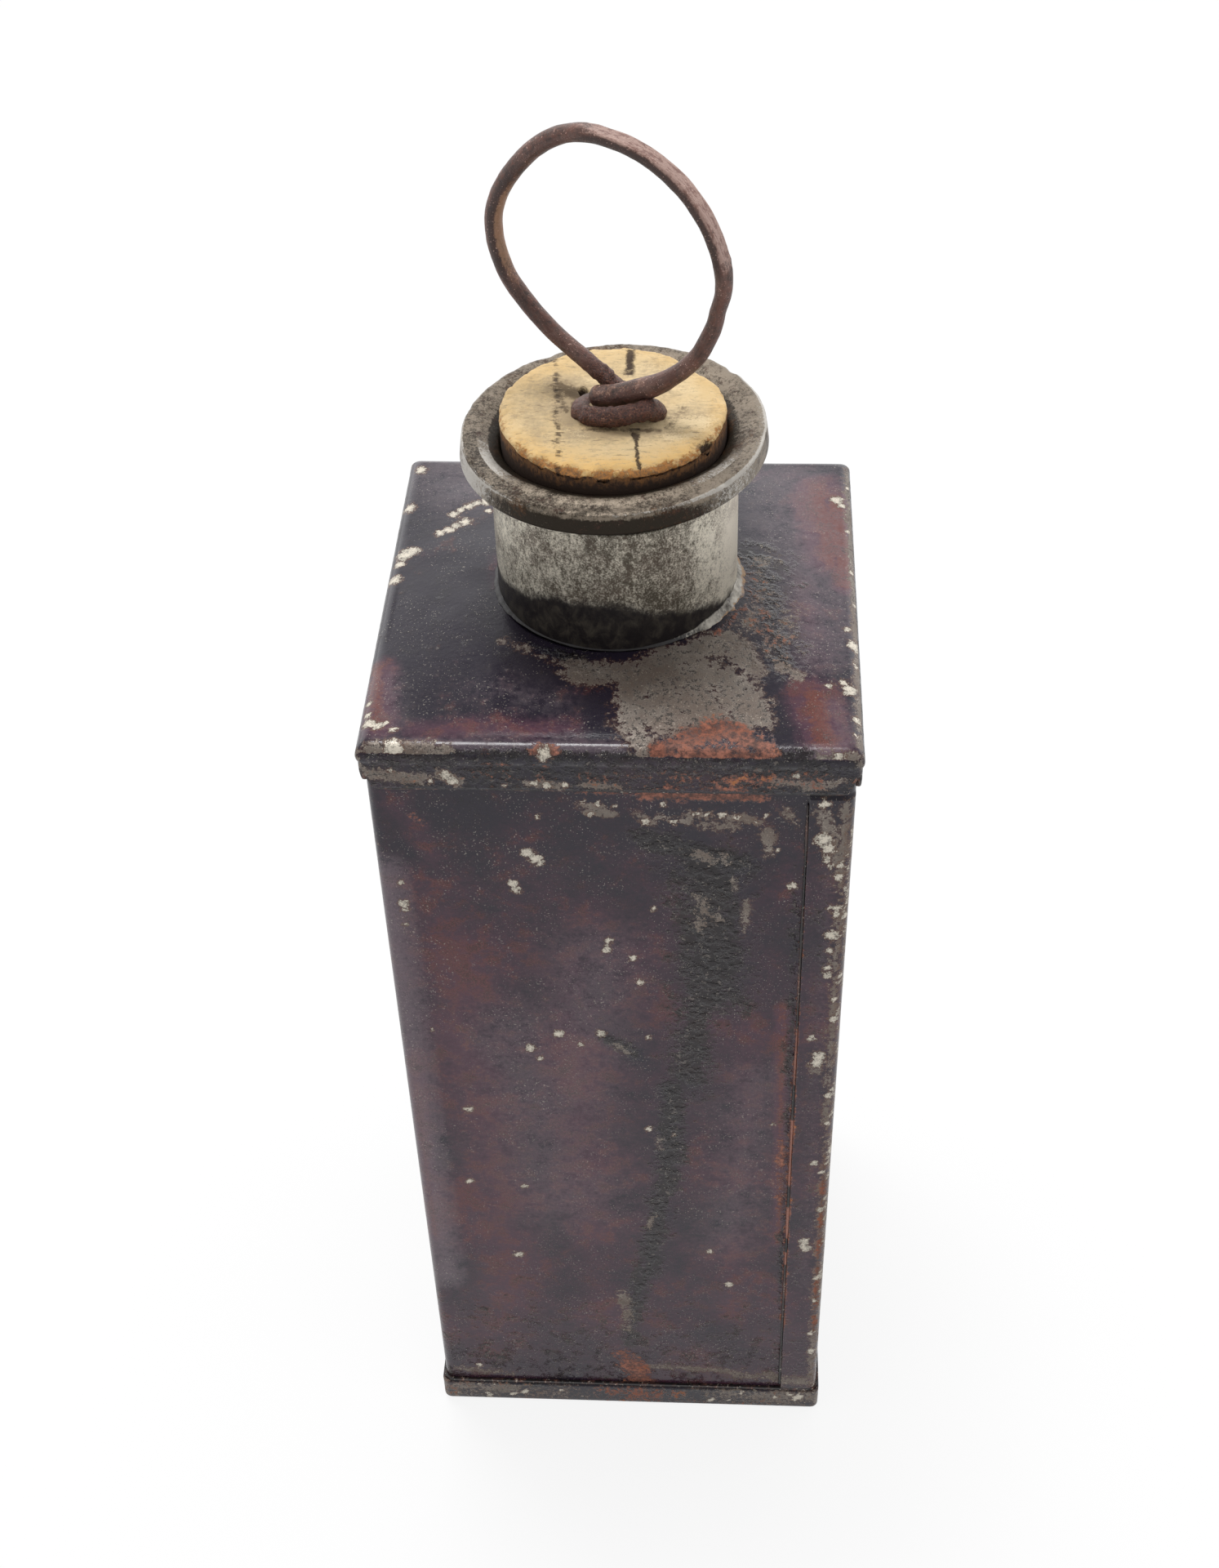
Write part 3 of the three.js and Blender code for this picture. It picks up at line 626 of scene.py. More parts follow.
def cork_finish(c):
    """Cork cut along its grain: broken pore lines, fine cross fibres, dirt, a torn orange edge and a dark side."""
    material, n = blank_material("cork")
    at = n.place()
    x, y, z = n.axes(at)
    fibre = n.noise(n.stretch(at, 0.35, 1.0, 1.0), 0.45, 4, 0.6, 0.4)
    cloud, mottle = n.noise(at, 5, 3), n.noise(at, 1.3, 4, 0.6)
    fine, grit = n.noise(at, 0.5, 4, 0.65), n.noise(at, 0.2, 3)
    rim, side, darker_front = n.field("rim"), n.field("side"), n.field("darker_front")
    dusty, scuffed, hole, dirt = n.field("dusty"), n.field("scuffed"), n.field("hole"), n.field("dirt")
    gold = n.field("gold")
    base = n.mix((cloud.step(0.3, 0.7) * 0.5 + 0.35 - gold * 0.6).held(), c.cork, c.cork_pale)
    base = n.mix((gold + mottle.sway(0.9) + fine.sway(0.7)).step(0.45, 1.1) * 0.6, base, c.cork_gold)
    base = n.mix((fibre * 0.7 + grit * 0.3).step(0.50, 0.34) * 0.6, base, c.cork_grey)
    base = n.mix((dusty + mottle.sway(0.7) + fine.sway(0.8)).step(0.15, 0.80) * 0.75, base, c.cork_grey)
    base = n.mix((scuffed + grit.sway(1.4) + (fibre - 0.5)).step(0.40, 0.80) * 0.75, base, c.cork_pale)
    flecks = n.noise(n.stretch(at, 0.22, 1.1, 1.0), 0.5, 3, 0.6).step(0.63, 0.72)
    base = n.mix(flecks * 0.6, base, c.cork_dirt)
    dirt = dirt + mottle.sway(0.9) + fine.sway(1.3) + grit.sway(0.8)
    base = n.mix(dirt.step(0.26, 0.80) * 0.9, base, c.cork_dirt)
    torn = (rim * 1.25 + mottle.sway(0.6) + fine.sway(1.1) + grit.sway(0.9)).step(0.42, 0.95)
    base = n.mix(torn * 0.92, base, n.mix((fine * 0.5 + grit * 0.5).step(0.42, 0.58), c.cork_wall, c.cork_burnt))
    streak = n.noise(n.stretch(at, 1.0, 1.0, 0.55), 0.45, 5, 0.7)
    # The side grows darker towards its foot, and the dark reaches higher in front.
    low = (z + mottle.sway(2.0) + streak.sway(2.0) - darker_front * 0.5).step(153.3, 151.3)
    wall = n.mix(streak.step(0.38, 0.66) * 0.5, c.cork_wall, c.cork_burnt)
    wall = n.mix(low, wall, c.cork_side)
    sunk = n.mix((mottle * 0.5 + fine * 0.5).step(0.40, 0.62), c.cork_wall, toned(c.cork, 0.6))
    sunk = n.mix((cloud * 0.5 + streak * 0.5).step(0.44, 0.60) * 0.75, sunk, c.cork_side)
    wall = n.mix((z + mottle.sway(3.0)).step(149.6, 147.6), wall, sunk)
    wall = n.mix((streak * 0.6 + grit * 0.4).step(0.50, 0.40) * 0.8, wall, c.cork_dark)
    base = n.mix((side + fine.sway(0.7) + grit.sway(0.4)).step(0.35, 0.65), base, wall)
    wander, ragged = mottle.sway(1.3), fine.sway(0.5) + grit.sway(0.3)
    dashes = n.noise(n.stretch(at, 0.3, 1.0, 0.3), 1.1, 2).step(0.44, 0.58)
    ticks = n.noise(n.stretch(at, 0.15, 1.0, 0.3), 0.7, 2).step(0.60, 0.68)
    line = abs(x + 6.27 + y * 0.0843 + wander) + ragged
    left, bars = line.step(0.40, 0.10) * dashes, line.step(1.0, 0.6) * ticks
    gaps = n.noise(n.stretch(at, 0.2, 1.0, 0.2), 1.3, 2).step(0.36, 0.50)
    open_end = y.step(-5.5, -2.5) * 0.35
    line = abs(x - 2.03 + y * 0.101 + wander * 0.7) + ragged - open_end
    ahead = y.step(-2.2, -2.5) * line.step(0.26, 0.06) * gaps
    behind = y.step(8.2, 8.5) * (abs(x - 1.53 + y * 0.0188 + wander) + ragged).step(0.62, 0.20)
    pores = (left * 0.85).over(bars * 0.7).over(ahead).over(behind * mottle.step(0.36, 0.52))
    top = z.step(152.6, 153.2)
    crack = (pores * top).over((hole + ragged).step(0.40, 0.62))
    base = n.mix(crack * 0.92, base, c.cork_dark)
    height = fibre * 0.3 + mottle * 0.4 + fine * 0.3 + grit * 0.15 + torn * fine * 0.7 - crack * 0.9
    n.finish({"Base Color": base, "Roughness": 0.82, "Normal": n.raised(height, 0.17),
              "Specular IOR Level": 0.25})
    return material


def wire_finish(c):
    """Rusted iron: brown and dark scale that runs along the wire, reddish rust, pinkish wear that also paints
    light on the upper faces, and pale specks.
    """
    material, n = blank_material("rusted_wire")
    at = n.place()
    ways = {0: n.field("along") * 0.2, 1: n.field("across"), 2: n.field("outward")}
    run = n.add("ShaderNodeCombineXYZ", {}, ways)
    fibre = n.noise(run, 0.32, 4, 0.65)
    cloud, mottle = n.noise(at, 3.5, 4, 0.6), n.noise(at, 0.8, 5, 0.65)
    grit = n.noise(at, 0.20, 3, 0.65)
    worn, eaten, shade, tan = n.field("worn"), n.field("eaten"), n.field("shade"), n.field("tan")
    base = n.mix((cloud * 0.5 + mottle * 0.4 + fibre * 0.5).step(0.50, 0.88), c.wire_dark, c.wire)
    base = n.mix((mottle + grit * 0.4).step(0.64, 0.84) * 0.6, base, c.wire_rust)
    base = n.mix((shade + mottle.sway(0.8) + grit.sway(0.6)).step(0.25, 0.75) * 0.8, base, c.wire_dark)
    base = n.mix((tan + mottle.sway(0.7) + grit.sway(0.5)).step(0.35, 0.65) * 0.6, base, c.wire_tan)
    # Rubbed: worn scale, and painted light on the wire's upper faces.
    rubbed = (worn + mottle.sway(1.1) + fibre.sway(0.9) + grit.sway(0.6)).step(0.28, 0.80)
    base = n.mix(rubbed, base, c.wire_pale)
    base = n.mix(rubbed * (fibre * 0.5 + mottle * 0.5).step(0.52, 0.42) * 0.8, base, c.wire_rust)
    base = n.mix((grit + cloud * 0.25).step(0.76, 0.83) * 0.75, base, toned(c.wire_pale, 1.8))
    base = n.mix(eaten * 0.88, base, c.wire_rust)
    base = n.mix(eaten * grit.step(0.60, 0.42) * 0.9, base, c.wire_dark)
    base = n.mix(eaten * (grit * 0.6 + mottle * 0.4).step(0.58, 0.66) * 0.6, base, c.wire_tan)
    height = mottle * 0.5 + grit * 0.4 + fibre * 0.4 + eaten * grit * 1.0
    n.finish({"Base Color": base, "Roughness": mottle * 0.2 + 0.34, "Metallic": 0.25,
              "Normal": n.raised(height, 0.14)})
    return material


def plate_height(s, x, y):
    """Height of the shoulder's face: a crown over the square inside the bead, with a shallow groove there."""
    inside = s.plate_half - s.bead
    rise = s.crown * np.clip(1 - (x / inside) ** 2, 0, 1) * np.clip(1 - (y / inside) ** 2, 0, 1)
    out = np.maximum(np.abs(x), np.abs(y))
    return s.plate_high + rise - 0.03 * ease(-10, -24, y) * hump(out, inside - 0.5, 0.45)


FRONT_CHIPS = dots([
    (-3.0, 121.3, 0.35), (-1.4, 121.1, 0.4), (0.4, 120.8, 0.35), (3.9, 118.5, 0.5), (5.9, 121.2, 0.4),
    (7.1, 118.5, 0.4), (9.4, 119.9, 0.4), (10.8, 119.7, 0.4), (12.4, 119.6, 0.45), (14.0, 119.3, 0.4),
    (16.1, 118.9, 0.35), (-2.2, 119.5, 0.4), (-9.6, 113.4, 0.7), (-8.7, 112.4, 0.8), (-8.2, 111.7, 0.5),
    (-11.5, 108.2, 0.6), (-11.1, 107.2, 0.6), (-24.4, 104.8, 0.55), (-24.3, 103.8, 0.45), (-24.4, 108.2, 0.4),
    (-24.5, 101.2, 0.35), (-0.7, 99.0, 0.5), (-1.0, 97.4, 0.55), (2.1, 96.1, 0.5), (2.9, 91.9, 0.5),
    (4.6, 104.5, 0.4), (-10.9, 79.4, 0.6), (-9.8, 77.5, 0.45), (-7.3, 82.3, 0.65), (-4.6, 80.4, 0.4),
    (-2.1, 82.5, 0.6), (3.8, 82.0, 0.4), (-19.4, 67.1, 0.6), (3.5, 64.0, 0.5), (-20.3, 52.0, 0.5),
    (-13.1, 51.2, 0.45), (-14.8, 35.7, 0.6), (11.5, 37.6, 0.45), (14.2, 30.0, 0.55), (20.4, 108.7, 0.55),
    (18.6, 114.2, 0.35), (17.3, 119.7, 0.4), (-22.9, 82.5, 0.3), (-8.1, 119.0, 0.35), (19.4, 65.6, 0.35),
    (6.6, 62.9, 0.3), (-21.9, 8.2, 0.5),
])
STRIP_CHIPS = dots([
    (24.6, 79.6, 0.8), (24.4, 78.4, 0.8), (24.2, 41.2, 0.7), (24.4, 39.8, 0.8), (25.2, 101.2, 0.8),
    (24.3, 115.1, 0.8), (23.7, 116.5, 0.9), (25.0, 95.6, 0.5), (25.0, 94.3, 0.5), (25.1, 98.6, 0.5),
    (25.6, 105.6, 0.5), (25.6, 104.5, 0.4), (25.6, 110.7, 0.5), (24.1, 113.4, 0.45), (24.9, 105.7, 0.4),
    (23.5, 83.0, 0.5), (24.9, 58.4, 0.5), (25.9, 56.5, 0.45), (24.6, 112.3, 0.35), (25.7, 112.7, 0.4),
    (26.0, 90.0, 0.4), (26.0, 86.5, 0.5), (26.1, 72.0, 0.5), (26.1, 66.5, 0.4), (26.1, 48.5, 0.5),
    (26.1, 33.0, 0.5), (26.0, 27.5, 0.4), (25.8, 19.5, 0.5), (26.0, 15.0, 0.6), (23.6, 122.0, 0.6),
])
FRONT_BARE = [
    (-3.2, 121.0, -1.0, 120.6, 0.7, 0.85), (-2.6, 119.7, 0.4, 119.6, 0.5, 1),
    (3.2, 119.4, 4.6, 118.4, 0.7, 0.85), (5.4, 119.3, 8.6, 118.6, 0.6, 0.95),
    (9.0, 119.6, 14.6, 119.2, 0.8, 0.78), (10.4, 118.0, 13.8, 117.6, 0.8, 0.76),
    (15.2, 119.2, 16.4, 118.6, 0.5, 0.95), (9.8, 113.4, 11.2, 112.4, 0.8, 0.9),
    (12.4, 113.2, 12.8, 112.2, 0.6, 0.85), (13.8, 109.6, 14.0, 108.0, 0.6, 0.8),
    (9.6, 106.6, 10.6, 104.4, 1.1, 0.78), (11.9, 104.6, 12.2, 103.2, 0.8, 0.78),
    (9.6, 102.8, 9.9, 101.6, 0.8, 0.78), (15.4, 106.0, 15.1, 102.4, 0.8, 0.76),
    (15.0, 101.2, 15.0, 100.4, 0.5, 0.8), (17.4, 117.0, 17.8, 113.6, 0.8, 0.9),
    (-0.5, 80.5, 1.5, 79.0, 0.7, 0.75), (19.0, 120.5, 20.5, 118.5, 0.7, 0.7),
    (23.5, 120.5, 25.8, 112.0, 1.1, 0.8), (25.9, 122.0, 26.2, 8.0, 0.75, 0.74),
    (24.2, 80.0, 24.4, 77.0, 1.0, 0.8), (4.6, 62.0, 5.2, 60.0, 0.7, 0.75), (3.8, 45.0, 3.4, 43.0, 0.6, 0.8),
    (-0.6, 27.0, 0.2, 19.0, 1.2, 0.72), (2.0, 9.2, 14.5, 8.6, 0.7, 0.8), (15.5, 7.6, 25.5, 7.0, 1.3, 0.8),
    (-25.0, 7.4, -17.0, 6.2, 0.8, 0.75),
]
FRONT_RUST = [
    (3.6, 122.6, 16.6, 122.4, 0.75, 0.95), (-4.0, 122.9, 2.0, 122.8, 0.35, 0.7),
    (0.6, 9.4, 1.6, 6.0, 1.8, 0.95), (-1.0, 12.5, 1.0, 8.0, 1.4, 0.7), (21.7, 78.0, 21.8, 20.0, 0.35, 0.9),
    (21.7, 116.0, 21.8, 80.0, 0.25, 0.75), (20.6, 63.0, 20.8, 47.0, 0.9, 0.6),
    (-22.5, 119.0, -21.0, 118.0, 0.6, 0.6), (26.2, 60.0, 26.2, 20.0, 0.5, 0.7),
]
FRONT_RED = [
    (-19.0, 98.0, -15.0, 24.0, 9.0, 0.80), (-6.0, 92.0, -4.0, 20.0, 7.0, 0.80),
    (20.0, 88.0, 20.7, 40.0, 0.9, 1.5), (-21.0, 84.0, -17.0, 74.0, 4.0, 1.1),
    (16.5, 88.0, 14.0, 22.0, 5.0, 0.68), (-8.0, 108.0, -14.0, 100.0, 6.0, 0.62),
    (-23.5, 120.0, -20.0, 112.0, 2.5, 0.6), (-25.6, 78.0, -25.8, 40.0, 1.2, 1.4),
    (-14.0, 24.0, -4.0, 12.0, 4.0, 0.45), (24.0, 75.0, 24.4, 20.0, 1.4, 0.45),
]
# Haze on the front: dull lacquer; the strip down the left edge is a painted rim of light, and the broad patches
# brighten the face as a painted sheen.
FRONT_HAZE_AND_SHEEN = [
    (-26.0, 110.0, -25.0, 30.0, 1.9, 0.85), (-2.0, 96.0, -6.0, 70.0, 6.0, 0.35),
    (-12.0, 80.0, -8.0, 50.0, 9.0, 0.34), (17.0, 74.0, 14.0, 40.0, 5.0, 0.30),
    (24.5, 112.0, 24.5, 30.0, 1.8, 0.20),
]
FRONT_CHAR = [
    (4.0, 115.5, 14.5, 112.0, 2.0, 0.95), (11.0, 111.0, 11.5, 90.0, 4.2, 1), (10.0, 90.0, 9.0, 74.0, 2.8, 0.95),
    (6.5, 72.0, 6.0, 52.0, 1.9, 0.95), (5.0, 50.0, 3.0, 32.0, 1.8, 0.9), (2.0, 30.0, 0.0, 15.0, 1.6, 0.85),
    (-1.8, 82.0, 2.2, 78.6, 1.0, 0.9), (20.9, 112.0, 21.3, 24.0, 0.7, 0.62),
    (24.0, 110.0, 24.2, 20.0, 1.4, 0.30),
]


def body_wall(s):
    """Walls: a square loop with the lap strip's step on its front, carried up outside and down inside.

    Columns go round the outline, rows climb the outer wall and come down the inner one, a sheet's thickness
    inside. The strip stands proud between its two ends only. Slow noise gives shallow dents.
    """
    flat = s.half - s.corner
    loop, outs = square_loop(s.half, s.corner, 0.72)
    last = np.flatnonzero(loop[:, 0] >= flat)[0]
    plain = np.arange(-flat + 0.5, s.strip_edge - 0.3, 0.5)
    strip = np.arange(s.strip_edge + 0.35, flat, 0.35)
    near = s.strip_edge + np.array([-0.12, -0.03, 0.03, 0.12])
    run = np.concatenate([plain, near, strip])
    seam = np.stack([run, np.full(run.shape, -s.half)], -1)
    loop = np.concatenate([seam, loop[last:]])
    outs = np.concatenate([np.tile([[0.0, -1.0]], (len(run), 1)), outs[last:]])
    ends = np.array([s.strip_low, s.strip_high])
    height = np.arange(s.wall_low, s.wall_high, 0.56)
    height = np.sort(np.concatenate([height, ends - 0.06, ends + 0.06, [s.wall_high]]))
    height = height[:, None]
    x, y = loop[:, 0], loop[:, 1]
    strip_here = ease(s.strip_edge - 0.03, s.strip_edge + 0.03, x) * (y < s.strip_edge - s.half)
    strip_here = strip_here * ease(-s.half + 6, -s.half + 2, y)
    there = ease(ends[0] - 0.06, ends[0] + 0.06, height) * ease(ends[1] + 0.06, ends[1] - 0.06, height)
    proud = (s.strip_face - s.half) * strip_here * there
    outer = np.stack(np.broadcast_arrays(x, y - proud, height), -1)
    middle = np.clip(np.minimum(height - s.pan_high, s.flap_low - height) / 12, 0, 1)
    dents = rough(outer, 21, 3) * 0.40 - 0.10
    flat_part = np.clip((flat - np.minimum(np.abs(x), np.abs(y))) / 5, 0, 1)
    outer[..., :2] += (np.minimum(dents, 0.03) * middle * flat_part)[..., None] * outs
    inner_height = np.linspace(s.wall_high, s.wall_low, 9)[:, None]
    inward = loop * (1 - s.sheet / s.half)
    inner = np.stack(np.broadcast_arrays(inward[:, 0], inward[:, 1], inner_height), -1)
    grid = np.concatenate([outer, inner])
    fields = {key: np.concatenate([value, np.zeros(inner.shape[:2])])
              for key, value in wall_wear(s, outer, outs).items()}
    return surface("body_wall", grid, closed=True, fields=fields)


def wall_wear(s, points, outs):
    """Painted fields of the walls: the front's own marks, and strewn marks on the other three sides.

    Each side is read by the distance along it and the height. Upright edges are worn in broken lengths.
    """
    x, y, z = np.moveaxis(points, -1, 0)
    front, back = outs[:, 1] < -0.7, outs[:, 1] > 0.7
    right, left = (outs[:, 0] >= 0.7) & ~front, (outs[:, 0] <= -0.7) & ~front
    corner = np.minimum(s.half - np.abs(x), s.half - np.abs(y)) + np.hypot(
        np.clip(np.abs(x) - s.half + 3, 0, None) - 3, np.clip(np.abs(y) - s.half + 3, 0, None) - 3)
    edge = np.clip(1 - corner / 1.1, 0, 1)
    broken = speckle(points, 3.4, 11) * 0.55 + speckle(points, 0.9, 12) * 0.6
    wear = edge * np.where(x > 0, 1.0, 0.72)
    chip = np.maximum(marks(x, z, FRONT_CHIPS + STRIP_CHIPS) * front, wear * (broken - 0.08))
    bare = np.maximum(marks(x, z, FRONT_BARE) * 0.84 * front, wear * (broken + 0.02))
    rust = marks(x, z, FRONT_RUST) * front
    red = np.maximum(marks(x, z, FRONT_RED), 0.25 + 0.27 * ease(120, 100, z)) * front
    # Near its foot the front takes more char, which makes it darker towards the bottom.
    char = np.maximum(marks(x, z, FRONT_CHAR), 0.38 * ease(40, 12, z)) * front
    tall = (8.0, 120.0)
    for seed, side, across in ((21, right, y), (22, back, -x), (23, left, -y)):
        chip = np.maximum(chip, side * marks(across, z, stray_marks(seed, 30, 25, tall, 0.62)))
        bare = np.maximum(bare, side * marks(across, z, stray_marks(seed + 10, 8, 22, tall, 2.8)) * 0.60)
        rust = np.maximum(rust, side * marks(across, z, stray_marks(seed + 20, 6, 25, (5.0, 22.0), 2.6)) * 0.5)
        red = np.maximum(red, side * marks(across, z, stray_marks(seed + 30, 9, 20, tall, 18.0)) * 0.8)
        char = np.maximum(char, side * marks(across, z, stray_marks(seed + 40, 5, 18, tall, 7.0)) * 0.8)
    red = np.maximum(red, 0.24 * ~front)
    foot = ease(12, 5.5, z) * ~front
    bare = np.maximum(bare, foot * (speckle(points, 5, 17) * 0.8))
    haze_and_sheen = np.maximum(marks(x, z, FRONT_HAZE_AND_SHEEN) * front, 0.12 * ~front)
    return {"chip": chip, "bare": bare, "rust": rust, "red": red, "char": char, "haze_and_sheen": haze_and_sheen}


PLATE_CHIPS = dots([
    (-26.0, 24.6, 0.7), (-26.6, 16.6, 0.8), (-26.0, 7.0, 0.9), (-25.2, 7.6, 0.8), (-26.4, 5.2, 0.6),
    (-26.7, 2.2, 0.8), (-20.9, 14.8, 0.6), (-20.1, 15.6, 0.55), (-19.2, 16.4, 0.6), (-18.2, 17.1, 0.6),
    (-17.2, 17.2, 0.7), (-16.6, 15.2, 0.45), (-22.2, 11.0, 0.6), (-21.2, 11.6, 0.65), (-20.4, 12.3, 0.6),
    (-19.3, 13.1, 0.75), (25.8, 18.9, 0.75), (26.3, 17.8, 0.5), (26.3, -16.9, 0.8), (25.6, -15.6, 0.45),
    (27.0, -8.9, 0.8), (26.3, -6.2, 0.4), (-26.9, -20.0, 0.4), (-26.8, -22.0, 0.4), (-26.4, -23.6, 0.7),
    (-25.6, -23.9, 0.6), (-24.6, -23.4, 0.35), (-23.6, -24.6, 0.45), (-23.5, -26.9, 0.8), (-22.9, -27.3, 0.7),
    (27.2, 4.8, 0.35), (27.0, 12.7, 0.3), (27.4, -1.3, 0.3), (24.9, -27.5, 0.6), (-6.9, -27.5, 0.75),
    (23.9, -16.5, 0.4), (24.4, -16.0, 0.3), (26.9, -21.7, 0.5), (26.7, -24.4, 0.35), (27.1, -12.5, 0.35),
    (27.2, 22.0, 0.3),
])
PLATE_BARE = [
    (-4.2, -15.6, 2.5, -15.8, 1.5, 1), (2.6, -16.0, 2.7, -23.5, 2.0, 1), (5.2, -16.0, 6.0, -22.4, 3.0, 1),
    (9.0, -16.0, 10.0, -21.6, 3.2, 1), (13.2, -17.0, 14.6, -21.8, 2.4, 1), (5.5, -13.6, 12.6, -10.4, 2.0, 1),
    (13.8, -11.0, 15.4, -14.0, 1.7, 0.95), (3.2, -25.4, 4.6, -27.3, 1.5, 0.95),
    (16.4, -20.0, 17.0, -22.6, 1.0, 0.9), (14.8, -7.0, 16.8, -1.0, 2.4, 0.52),
    (17.0, -12.0, 19.2, -4.0, 2.6, 0.47), (16.0, 2.0, 17.4, 6.0, 1.8, 0.45),
    (18.6, -14.0, 20.8, -15.2, 0.8, 0.85), (-25.5, -27.2, -18.0, -27.4, 1.0, 0.85),
    (27.2, -26.0, 27.3, 26.0, 0.5, 0.74), (23.0, -27.5, 26.5, -27.5, 0.7, 0.8),
    (-12.5, -10.5, -6.0, -14.2, 0.7, 0.5),
]
PLATE_RUST = [
    (5.2, -27.0, 8.6, -26.0, 1.1, 1), (8.8, -25.4, 12.6, -23.9, 1.5, 1), (12.6, -23.9, 16.4, -26.4, 1.4, 1),
    (8.0, -27.4, 17.0, -27.5, 1.2, 0.9), (11.4, -9.0, 14.6, -4.0, 0.45, 0.8),
    (14.6, 2.0, 18.0, -10.0, 2.6, 0.42), (-7.4, -27.5, -6.4, -27.6, 0.9, 1.1),
    (-13.6, -27.6, -13.0, -27.6, 0.4, 0.55),
]
PLATE_RED = [
    (-26.6, -14.5, -25.4, -24.0, 1.6, 1.5), (-21.0, -24.6, -4.0, -24.4, 1.5, 0.85),
    (23.6, 21.0, 24.6, 6.0, 2.2, 1.6), (25.6, 19.0, 26.4, 2.0, 1.3, 2.0), (22.4, -18.5, 23.6, -26.0, 2.2, 1.6),
    (-14.6, 5.0, -13.6, 0.0, 1.2, 0.6), (20.0, 24.0, 10.0, 24.5, 2.5, 0.5), (21.5, 2.0, 22.5, -12.0, 2.2, 0.5),
]
# Char on the shoulder: the lines along the bead's front are black lacquer and painted shade on the roll's lower
# face; the others are blistered lacquer.
PLATE_CHAR_AND_SHADE = [
    (-21.5, -27.6, 3.5, -27.6, 0.45, 0.9), (18.0, -27.2, 22.0, -27.2, 0.8, 0.7),
    (16.5, 6.0, 18.5, -13.0, 3.0, 0.72), (-2.0, -15.0, -8.0, -12.0, 1.4, 0.6),
]
# Haze on the shoulder: dull lacquer and a painted sheen; the strips along the bead's top are its painted
# highlight.
PLATE_HAZE_AND_SHEEN = [
    (21.5, 20.0, 22.0, -8.0, 5.5, 0.52), (26.0, 16.0, 26.0, -4.0, 1.6, 0.45),
    (24.5, -20.0, 25.5, -26.0, 1.6, 0.4), (22.6, -27.5, 24.6, -27.5, 0.9, 1.7),
    (-24.0, 26.0, -20.0, 20.0, 5.0, 0.45), (-21.0, -26.8, -8.0, -26.9, 0.8, 0.62),
    (-8.0, -26.8, 1.0, -26.9, 0.8, 0.85), (17.5, -27.2, 21.5, -27.2, 0.8, 0.5),
    (5.0, -26.5, 16.0, -26.0, 1.2, 0.4), (17.0, 4.0, 19.0, -10.0, 4.0, 0.35),
    (-6.0, -20.0, -14.0, -18.0, 3.0, 0.22), (-25.5, -16.0, -24.0, -24.0, 2.0, 0.34),
]
FLAP_BARE = [
    (-26.5, 125.6, -20.5, 125.0, 0.9, 0.85), (-18.4, 125.6, -16.8, 124.6, 0.9, 0.95),
    (-9.0, 124.5, -5.0, 124.2, 0.6, 0.8), (18.0, 125.2, 24.5, 124.8, 0.8, 0.66),
    (21.5, 124.4, 25.5, 125.6, 0.6, 0.75), (-3.0, 124.4, 1.0, 124.2, 0.5, 0.7),
]
FLAP_CHIPS = dots([
    (-17.9, 125.6, 0.6), (-17.2, 124.8, 0.6), (-19.6, 124.6, 0.4), (-24.0, 126.1, 0.3), (-6.9, 128.9, 0.8),
    (-8.2, 124.6, 0.4), (-6.8, 124.2, 0.5), (-4.8, 124.3, 0.4), (20.4, 126.2, 0.4), (-11.5, 124.2, 0.3),
])
FLAP_RUST = [
    (2.0, 125.4, 26.0, 125.2, 1.8, 0.40), (-26.0, 125.4, 2.0, 125.2, 1.8, 0.27),
    (4.0, 125.6, 16.0, 125.2, 1.0, 0.44), (6.0, 124.2, 15.0, 124.1, 0.5, 0.62),
    (-14.0, 127.4, -6.0, 127.2, 0.4, 0.45),
]


# Radius of the plate's corners, rows over its bead and down a flap, and how far below level the bead's roll goes
PLATE_CORNER, BEAD_ROWS, FLAP_ROWS, BEAD_ENDS = 0.7, 14, 12, 29


def flap_share(s, unit):
    """How much of the flaps' depth is left: all of it along the sides, less over the slanting cut at a corner."""
    return np.clip((1 - np.abs(unit).min(-1)) * s.plate_half / s.flap_cut, 0.25, 1)


